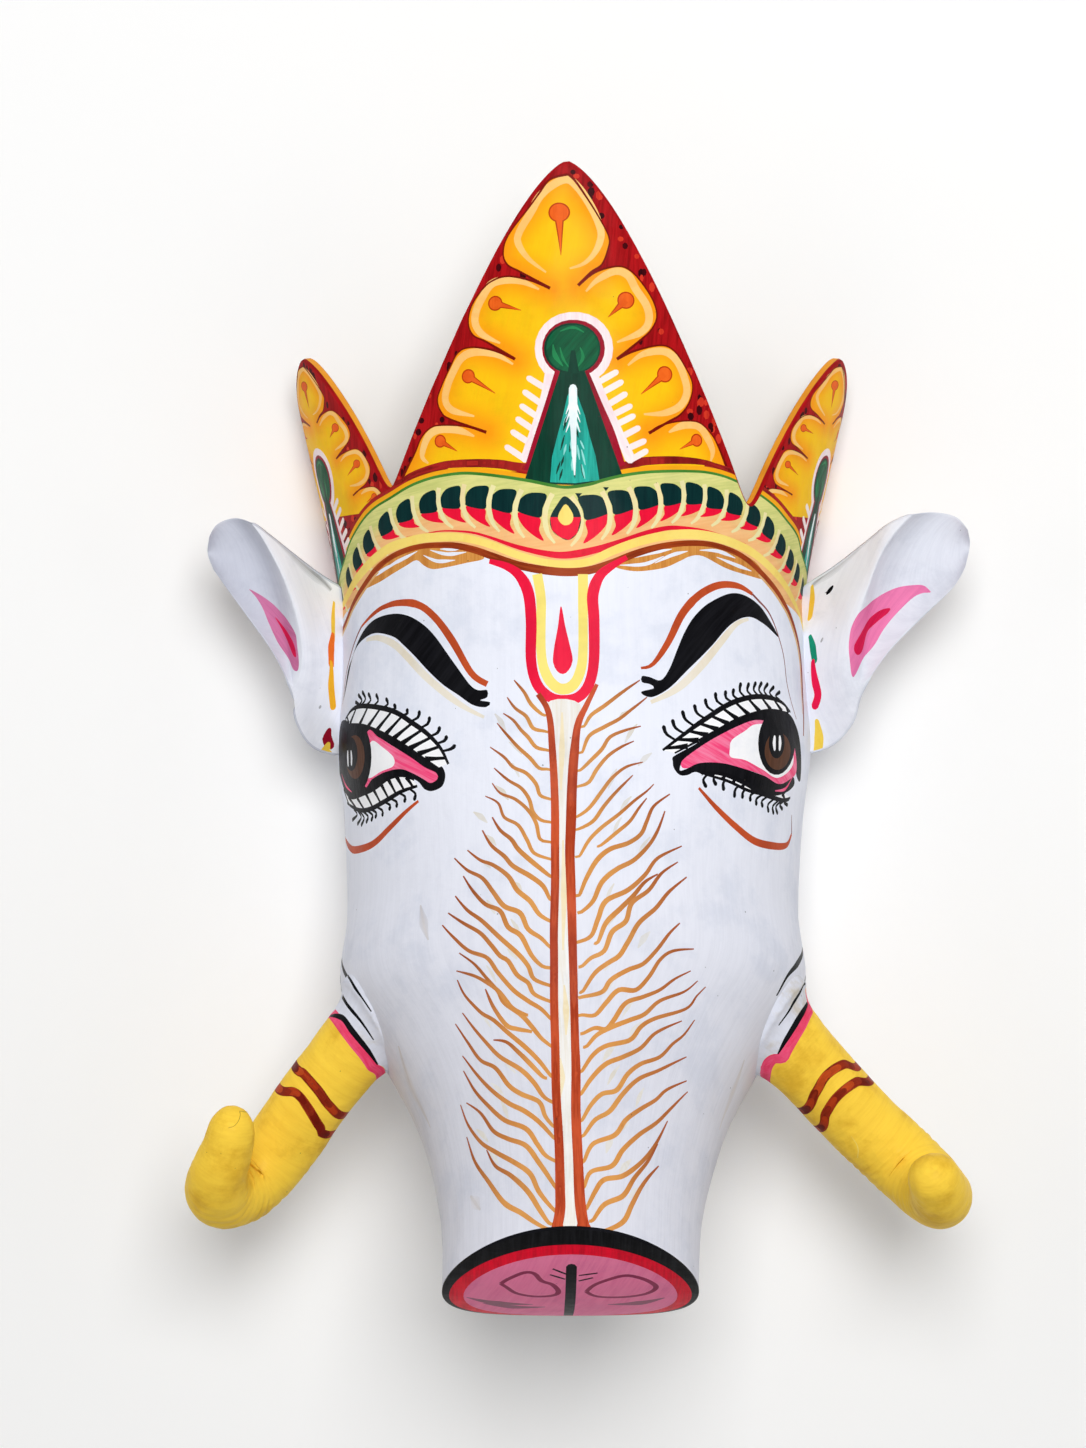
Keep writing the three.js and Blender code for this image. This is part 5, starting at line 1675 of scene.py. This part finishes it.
ear_finish = painted_finish("painted_ear_paper", 0.6, 0.05, 0.3, (0.84, 0.85, 0.87, 1))
for ear_name, ear in EARS.items():
    on_top, beneath = ear_places(ear)
    side_way = -ear["side"] * EAR_WIDE
    sheet = sheet_over(on_top, np.linspace(0.02, 1, 60) * EAR_LONG, np.linspace(0, 1, 40) * side_way)
    ear_spread = spread_on(on_top)
    ear_pattern = []
    ear_brush = partial(brush, onto=ear_pattern, spread_of=ear_spread)
    ear_fill = partial(fill, onto=ear_pattern)

    def on_ear(points):
        return seen(points, sheet, ear["middle"])

    # A soft grey band along the upper edge of each neck, by the head: painted shade with some dirt, laid in
    # four strokes that narrow and darken toward the middle.
    for share, depth in ((1.5, 0.25), (1.15, 0.45), (0.8, 0.7), (0.45, 1.0)):
        ear_brush(on_ear(ear["neck_shade_and_dirt"]), share * np.array((1.5, 5.0, 6.5, 5.5, 2.0)),
              EAR_WHITE * (1 - depth) + EAR_DIRT_AND_SHADE * depth)
    ear_fill(smooth(on_ear(ear["pink"]), 1.2, closed=True), ear["pink_paint"], grain=(1.0, 0.5))
    ear_fill(smooth(on_ear(ear["red"]), 1.2, closed=True), EAR_RED, grain=(1.0, 0.5))
    for line, width, colour in ear["dabs"]:
        ear_brush(on_ear(line), (0.5 * width, width, 0.9 * width), colour, tips=(True, True))
    ear_fill(round_spot(on_ear([ear["spot"]])[0], 0.5, 0.7), EAR_DIRT_AND_SHADE)
    # The string hole by the right ear's root is a black painted spot, painted shade in place of the hole,
    # with a short black stroke beside it.
    if ear["hole"]:
        ear_fill(round_spot(on_ear([ear["hole"]])[0], 0.9, 1.0), EYE_BLACK)
        x, y = ear["hole"]
        ear_brush(on_ear([(x, y), (x - 5, y + 3)]), (1.0, 0.2), EYE_BLACK)

    # The ground turns from the neck's white to the cup's greyer paint, which is painted shade.
    def ear_ground(spots):
        into_cup = np.clip((spots[:, 0] / EAR_LONG - 0.38) / 0.22, 0, 1)[:, None]
        return EAR_WHITE * (1 - into_cup) + ear["shaded_cup_paint"] * into_cup

    # The sheet starts where it comes out of the shell, above and below.
    acrosses = np.linspace(EAR_EDGE_IN, 1 - EAR_EDGE_IN, 41)
    trials = np.linspace(0, 0.6, 160) * EAR_LONG
    roots = []
    for place in (on_top, beneath):
        starts = [root_share(lambda ranks: place(np.stack([ranks, 0 * ranks + a * side_way], -1)), trials)
                  for a in acrosses]
        roots.append(np.array(starts))
    root_line = np.stack([roots[0], acrosses * side_way], -1)
    tip_rank = 0.985 * EAR_LONG
    tip_acrosses = np.linspace(EAR_EDGE_IN, 1 - EAR_EDGE_IN, 21)
    tip_fall = 0.06 * EAR_LONG * (2 * tip_acrosses - 1) ** 4
    tip_line = np.stack([tip_rank - tip_fall, tip_acrosses * side_way], -1)
    upper_line = evenly(np.array([(roots[0][0], acrosses[0] * side_way), tip_line[0]]), 1.6)
    lower_line = evenly(np.array([(roots[0][-1], acrosses[-1] * side_way), tip_line[-1]]), 1.6)
    ear_border = np.concatenate([root_line, lower_line[1:], tip_line[::-1][1:-1], upper_line[::-1][:-1]])
    grid_lines = np.arange(0, EAR_LONG, 1.5), np.arange(0, EAR_WIDE, 1.5) * -ear["side"]
    ear_grid = np.stack(np.meshgrid(*grid_lines), -1).reshape(-1, 2)
    ear_grid = ear_grid[inside(ear_border, ear_grid)]
    spots, faces, colours, strokes = cut_pattern(ear_border, ear_grid, ear_pattern, ear_ground)
    ear_skin = Skin()
    top_points, top_normals = on_top(spots), normals_on(on_top, spots)
    ear_skin.add(top_points, top_normals, faces, colours, strokes, 0)

    # The rounded edge, and the sheet's under side down to the shell.
    loop = edge_loop(faces, int(np.argmin(np.abs(spots - lower_line[5]).sum(1))))
    loop_spots = spots[loop]
    under_start = np.interp(np.abs(loop_spots[:, 1]), np.abs(acrosses * side_way), roots[1])
    top_start = np.interp(np.abs(loop_spots[:, 1]), np.abs(acrosses * side_way), roots[0])
    at_root = loop_spots[:, 0] <= top_start + 0.3
    under_spots = loop_spots.copy()
    share = np.clip((EAR_LONG * 0.5 - loop_spots[:, 0]) / (EAR_LONG * 0.5 - top_start), 0, 1)
    under_spots[:, 0] += (under_start - top_start) * share
    rows, row_normals, along = edge_rows(top_points[loop], top_normals[loop], beneath(under_spots),
                                         np.where(at_root, 0.0, 0.85))
    quads = quads_between(len(loop), closed=True)
    for number in range(len(rows) - 1):
        ride = np.stack([np.full(2 * len(loop), float(number)), np.tile(along, 2)], -1)
        two_rows = slice(number, number + 2)
        ear_skin.add(np.concatenate(rows[two_rows]), np.concatenate(row_normals[two_rows]),
                     quads, ear["shaded_cup_paint"], ride[quads], 0)
    under_grid = ear_grid[inside(under_spots, ear_grid)][::2]
    low_spots, low_faces, low_colours, low_strokes = cut_pattern(
        under_spots, under_grid, [], ear_ground, 1e-5)
    ear_skin.add(beneath(low_spots), -normals_on(beneath, low_spots), low_faces[:, ::-1],
                 low_colours, low_strokes[:, ::-1], 0)
    ear_piece = join_skin("paper_" + ear_name, ear_skin)
    ear_piece.data.materials.append(ear_finish)
    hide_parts(ear_name)
    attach(ear_piece, "root")


# The tusks: paper wound and rolled into a thick horn with a turned-up end, pasted over so the
# winding still shows as low ridges past the bend, and let into the cheek.
TUSK_ROOT_RADIUS = 12.6
TUSK_BEND_RADIUS = 13.2
TUSK_SLACK = 0.985
TUSK_ROUND_MM = 12.8
BEND_SHARE = 0.6
TIP_FROM = 0.93
TIP_SHARE = 0.07
BAND_DABS = 19
WINDING_PITCH = 3.4
TUSK_YELLOW = paint("#ffd548", "#e6b134", 0.45, 0.3)
TUSK_PINK = paint("#f45a84", "#e8184a", 0.45, 0.8)
COLLAR_WHITE = paint("#dfe2ee", "#cfd2de", 0.5, 0.4)
BAND_SHADES = (paint("#b8401a", "#8a2612", 0.42, 0.8), paint("#c9501e", "#a03a1a", 0.42, 0.8),
               paint("#7a1c10", "#55120a", 0.42, 0.7), paint("#97301a", "#6a1a0e", 0.42, 0.8))
TUSKS = {
    "tusk_left": {
        "path": [
            (-58, -84, 74), (-73, -104, 69), (-86, -121, 65.5), (-101.3, -142.5, 61.5),
            (-110, -150.8, 65), (-116.8, -152.5, 76), (-117, -145.5, 87.5), (-113, -134.5, 93.5),
            (-110.5, -121, 96)
        ],
        "tip": 8.2, "seed": 3, "middle": (300, 1110),
        "bands": ([(294, 1067), (303, 1074), (317, 1090), (330, 1107), (345, 1117)],
                  [(277, 1088), (295, 1093), (308, 1109), (321, 1129), (328, 1136)]),
        "black": [(332, 1005), (344, 1022), (357, 1038), (369, 1053), (378, 1066)],
        "folds": (([(340, 960), (353, 986), (371, 1012)], (0.6, 1.1, 0.4)),
                  ([(334, 981), (345, 1003), (361, 1023), (373, 1041)], (1.3, 1.2, 0.4))),
        "crease": [(228, 1128), (234, 1126), (238.5, 1121), (240.5, 1115), (239.5, 1109)],
        "crack_and_highlight_paint": paint("#a5802c", "#8a6420", 0.5, 0.4), "flare": 0.9,
    },
    "tusk_right": {
        "path": [
            (58, -86, 74), (77, -108, 69), (98, -131, 63), (114, -146, 64), (121.5, -153, 78),
            (120, -149, 93), (115, -139, 105)
        ],
        "tip": 9, "seed": 8, "middle": (850, 1110),
        "bands": ([(860, 1062), (845, 1064), (828, 1075), (816, 1093), (803, 1112)],
                  [(872, 1079), (857, 1082), (839, 1096), (826, 1114), (819, 1130)]),
        "black": [(809, 1002), (800, 1019), (789, 1036), (778, 1055)],
        "folds": (([(803, 948), (790, 973), (777, 996)], (0.6, 1.1, 0.4)),
                  ([(808, 978), (802, 992), (791, 1010), (779, 1027)], (1.3, 1.2, 0.4))),
        "crease": [(851, 1137), (856, 1144), (858, 1151), (857, 1159)],
        "crack_and_highlight_paint": paint("#fbe27a", "#f6d250", 0.4, 0.4), "flare": 2.2,
    },
}


# The winding: ridges are pressed into the horn along a slow spiral. Its inputs are the pitch
# and depth of the ridges, how far they stray, a fixed seed and the paint.
winding, given, result = new_group(
    "wound_paper",
    [("Geometry", "Geometry", None), ("Pitch", "Float", 0.0034), ("Depth", "Float", 0.0006),
     ("Stray", "Float", 0.009), ("Seed", "Int", 3), ("Paint", "Material", None)],
    [("Geometry", "Geometry", None)], "GeometryNodeTree")
place = node_in(winding, "GeometryNodeInputPosition").outputs[0]
wound = node_in(winding, "GeometryNodeInputNamedAttribute", data_type="FLOAT")
feed(winding, wound.inputs["Name"], "winding")
amount = node_in(winding, "GeometryNodeInputNamedAttribute", data_type="FLOAT")
feed(winding, amount.inputs["Name"], "amount")
stray = node_in(winding, "ShaderNodeTexNoise", noise_dimensions="4D")
feed(winding, stray.inputs["Vector"], place)
feed(winding, stray.inputs["W"], given["Seed"])
feed(winding, stray.inputs["Scale"], 55.0)
wander = sums(winding, "MULTIPLY", sums(winding, "SUBTRACT", stray.outputs["Fac"], 0.5), given["Stray"])
turns = sums(winding, "DIVIDE", sums(winding, "ADD", wound.outputs[0], wander), given["Pitch"])
come_and_go = eased(winding, noise_in(winding, place, 70.0, 1.0), 0.38, 0.62)
groove = sums(winding, "POWER", sums(winding, "PINGPONG", turns, 0.5), 2.0)
groove = sums(winding, "MULTIPLY", groove, come_and_go)
lump = sums(winding, "MULTIPLY", noise_in(winding, place, 95.0, 3.0), 1.6)
groove = sums(winding, "MULTIPLY", sums(winding, "MULTIPLY", groove, 3.2), amount.outputs[0])
sunk = sums(winding, "ADD", groove, lump)
depth = sums(winding, "MULTIPLY", sums(winding, "MULTIPLY", sunk, given["Depth"]), -1.0)
push = node_in(winding, "ShaderNodeVectorMath", operation="SCALE")
feed(winding, push.inputs[0], node_in(winding, "GeometryNodeInputNormal").outputs[0])
feed(winding, push.inputs["Scale"], depth)
pressed = node_in(winding, "GeometryNodeSetPosition")
feed(winding, pressed.inputs["Geometry"], given["Geometry"])
feed(winding, pressed.inputs["Offset"], push.outputs[0])
realized = node_in(winding, "GeometryNodeRealizeInstances")
feed(winding, realized.inputs[0], pressed.outputs[0])
coated = node_in(winding, "GeometryNodeSetMaterial")
feed(winding, coated.inputs["Geometry"], realized.outputs[0])
feed(winding, coated.inputs["Material"], given["Paint"])
feed(winding, result["Geometry"], coated.outputs[0])
winding_inputs = {item.name: item.identifier
                  for item in winding.interface.items_tree if item.in_out == "INPUT"}

tusk_finish = painted_finish("painted_tusk_paper", 0.9, 0.06, 0.25, (0.74, 0.62, 0.40, 1))
TUSK_SEED = random.Random(23)
for tusk_name, tusk in TUSKS.items():
    fine = curve_through(tusk["path"], np.linspace(0, 1, 3000))
    run = np.concatenate([[0], np.cumsum(np.linalg.norm(np.diff(fine, axis=0), axis=1))])
    length = run[-1]
    stations = np.linspace(0, length, 600)
    middles = np.stack([np.interp(stations, run, fine[:, i]) for i in range(3)], -1)
    ways = np.gradient(middles, axis=0)
    ways /= np.linalg.norm(ways, axis=1, keepdims=True)
    ups = [np.array([0, 0, 1.0])]
    for way in ways:
        turned = ups[-1] - way * (ups[-1] @ way)
        ups.append(turned / np.linalg.norm(turned))
    ups = np.array(ups[1:])
    sides = np.cross(ways, ups)

    # The horn flares out into its root, so the root's line is found twice: plain, then flared.
    plain_root = None

    def on_tusk(spots):
        round_way = spots[:, 0] / TUSK_ROUND_MM
        along = np.clip(spots[:, 1], 0, length)
        share = along / length
        narrowing = np.clip((share - BEND_SHARE) / 0.4, 0, 1)
        narrowing = narrowing**2 * (3 - 2 * narrowing)
        body = TUSK_ROOT_RADIUS + (TUSK_BEND_RADIUS - TUSK_ROOT_RADIUS) * np.minimum(share / BEND_SHARE, 1)
        rounding = np.sqrt(np.maximum(1 - np.maximum((share - TIP_FROM) / TIP_SHARE, 0) ** 2, 0))
        radius = TUSK_SLACK * rounding * (body + (tusk["tip"] - body) * narrowing)
        if plain_root is not None:
            beyond = np.maximum(along - np.interp(spots[:, 0], plain_root[:, 0], plain_root[:, 1]) - 1, 0)
            radius = radius + tusk["flare"] * np.exp(-beyond / 11) + 3.0 * np.exp(-beyond / 2.8)
        frame_at = [np.stack([np.interp(along, stations, values[:, i]) for i in range(3)], -1)
                    for values in (middles, ups, sides)]
        around = np.cos(round_way)[:, None] * frame_at[1] + np.sin(round_way)[:, None] * frame_at[2]
        return frame_at[0] + radius[:, None] * around

    half_round = math.pi * TUSK_ROUND_MM
    round_steps = np.linspace(-half_round, half_round, 97)
    trials = np.linspace(0, 80, 260)
    for _ in range(2):
        starts = [root_share(lambda runs: on_tusk(np.stack([0 * runs + u, runs], -1)), trials)
                  for u in round_steps]
        root_line = np.stack([round_steps, starts], -1)
        root_line[-1, 1] = root_line[0, 1]
        if plain_root is None:
            plain_root = root_line
    sheet = sheet_over(on_tusk, round_steps, np.linspace(5, length * 0.995, 90))
    tusk_spread = spread_on(on_tusk)
    tusk_pattern = []
    tusk_brush = partial(brush, onto=tusk_pattern, spread_of=tusk_spread)
    tusk_fill = partial(fill, onto=tusk_pattern)
    # A white collar at the root, with a black line at its edge and pink paint beyond the line.
    black = seen(smooth(tusk["black"], 6), sheet, tusk["middle"])
    order = np.argsort(black[:, 0])
    beyond = np.interp(round_steps, black[order, 0], black[order, 1]) - np.interp(
        round_steps, root_line[:, 0], root_line[:, 1])
    away = np.minimum(np.abs(round_steps - black[order[0], 0]), np.abs(round_steps - black[order[-1], 0]))
    hidden = (round_steps < black[order[0], 0]) | (round_steps > black[order[-1], 0])
    beyond = np.where(hidden, 3.5 + (beyond - 3.5) * np.exp(-away / 6), beyond)
    ring = np.stack([round_steps, root_line[:, 1] + np.maximum(beyond, 2.2)], -1)
    ring[-1, 1] = ring[0, 1]
    ring[[0, -1], 0] *= 1.01
    white = np.concatenate([ring, [(1.01 * half_round, 0), (-1.01 * half_round, 0)]])
    tusk_brush(ring[::3] + [0, 1.9], (3.6, 3.2, 4.4, 3.4, 3.6), TUSK_PINK)
    tusk_fill(white, COLLAR_WHITE)
    tusk_brush(black[::3], (0.8, 1.9, 2.1, 1.7, 0.5), EYE_BLACK)
    for fold, widths in tusk["folds"]:
        line = seen(smooth(fold, 2), sheet, tusk["middle"], steps=1)
        if len(line) > 6:
            tusk_brush(line[::2], widths, EYE_BLACK)
    # Each band is one broad stroke round the horn, gone over with short dabs of other shades.
    for band in tusk["bands"]:
        ring = seen(band, sheet, tusk["middle"])
        if ring[0, 0] > ring[-1, 0]:
            ring = ring[::-1]
        back = (ring[0, 1] + ring[-1, 1]) / 2
        ring = np.concatenate([[(-half_round - 0.5, back)], ring, [(half_round + 0.5, back)]])
        ring = smooth(ring, 1.0)
        tusk_brush(ring[::2], (3.0, 3.3, 3.1), BAND_SHADES[3])
        for number in range(BAND_DABS):
            first = int(number / BAND_DABS * (len(ring) - 1))
            last = min(int((number + 1.25) / BAND_DABS * (len(ring) - 1)) + 1, len(ring))
            shift = [0, TUSK_SEED.uniform(-0.25, 0.25)]
            shade = BAND_SHADES[TUSK_SEED.randrange(4)]
            tusk_brush(ring[first:last:2] + shift, (2.0, 2.8, 2.2), shade, tips=(True, True))
    # A fine line on each knob: an olive crack on the left tusk, and on the right a pale painted highlight
    # along a raised wrinkle.
    line = seen(smooth(tusk["crease"], 2), sheet, tusk["middle"])
    tusk_brush(line, (0.15, 0.3, 0.2), tusk["crack_and_highlight_paint"], 0.8)
    tip_run = length * (TIP_FROM + TIP_SHARE * 0.985)
    left_seam = evenly(np.array([root_line[0], (-half_round, tip_run)]), 0.85)
    right_seam = left_seam * [-1, 1]
    tip_row = np.stack([round_steps, np.full(len(round_steps), tip_run)], -1)
    tusk_border = np.concatenate([root_line, right_seam[1:], tip_row[::-1][1:-1], left_seam[::-1][:-1]])
    grid_lines = np.arange(-half_round + 0.8, half_round, 0.9), np.arange(5, tip_run, 0.8)
    tusk_grid = np.stack(np.meshgrid(*grid_lines), -1).reshape(-1, 2)
    tusk_grid = tusk_grid[inside(tusk_border, tusk_grid)]
    spots, faces, colours, strokes = cut_pattern(
        tusk_border, tusk_grid, tusk_pattern,
        lambda spots: np.tile(TUSK_YELLOW, (len(spots), 1)), lay=(1, 0))
    tusk_skin = Skin()
    wrapped = np.where(spots[:, :1] > half_round - 1e-4, -half_round, spots[:, :1])
    points = on_tusk(np.concatenate([wrapped, spots[:, 1:]], 1))
    tusk_skin.add(points, points * 0, faces, colours, strokes, 0)
    loop = np.array(edge_loop(faces, int(np.argmin(np.abs(spots - root_line[0]).sum(1)))))
    on_root = np.abs(spots[loop, 1] - np.interp(spots[loop, 0], root_line[:, 0], root_line[:, 1])) < 0.05
    for wanted in (on_root, spots[loop, 1] > tip_run - 0.01):
        ring = loop[np.flatnonzero(wanted)]
        ring_points = points[ring]
        if wanted is on_root:
            near, out, _, _ = shell_sheet[0].find_nearest(Vector(ring_points.mean(0)))
            cap = np.array(near - out * ROOT_IN_WALL * 1.2)
        else:
            cap = on_tusk(np.array([(0, length)]))[0]
        order = np.arange(len(ring))
        fan = np.stack([order[:-1] * 0 + len(ring), order[1:], order[:-1]], -1)
        capped = np.concatenate([ring_points, [cap]])
        tusk_skin.add(capped, np.zeros(capped.shape), fan, TUSK_YELLOW, (0, 0), 0)
    piece = join_skin("wound_" + tusk_name, tusk_skin, set_normals=False)
    places = np.empty(len(piece.data.vertices) * 3)
    piece.data.vertices.foreach_get("co", places)
    places = places.reshape(-1, 3) / MM - [MASK_MIDDLE_X, 0, 0]
    nearest = np.array([np.linalg.norm(middles - point, axis=1).argmin() for point in places])
    away = places - middles[nearest]
    round_way = np.arctan2((away * sides[nearest]).sum(1), (away * ups[nearest]).sum(1))
    wound_run = (stations[nearest] + WINDING_PITCH * round_way / math.pi) * MM
    share_along = stations[nearest] / length
    amount_at = np.clip((share_along - 0.4) / 0.15, 0.1, 1) * np.clip((0.86 - share_along) / 0.12, 0.25, 1)
    turning = np.gradient(ways, stations, axis=0)[nearest]
    crowding = 1 - (away * turning).sum(1)
    amount_at = amount_at * np.clip((crowding - 0.35) / 0.4, 0, 1)
    for attribute, values in (("winding", wound_run), ("amount", amount_at)):
        layer = piece.data.attributes.new(attribute, "FLOAT", "POINT")
        layer.data.foreach_set("value", values.astype(np.float32))
    modifier = piece.modifiers.new("winding", "NODES")
    modifier.node_group = winding
    modifier[winding_inputs["Pitch"]] = WINDING_PITCH * MM
    modifier[winding_inputs["Seed"]] = tusk["seed"]
    modifier[winding_inputs["Paint"]] = tusk_finish
    bpy.context.view_layer.update()
    shaped = piece.evaluated_get(bpy.context.evaluated_depsgraph_get())
    piece.data = bpy.data.meshes.new_from_object(shaped)
    piece.modifiers.clear()
    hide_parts(tusk_name)
    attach(piece, "root")
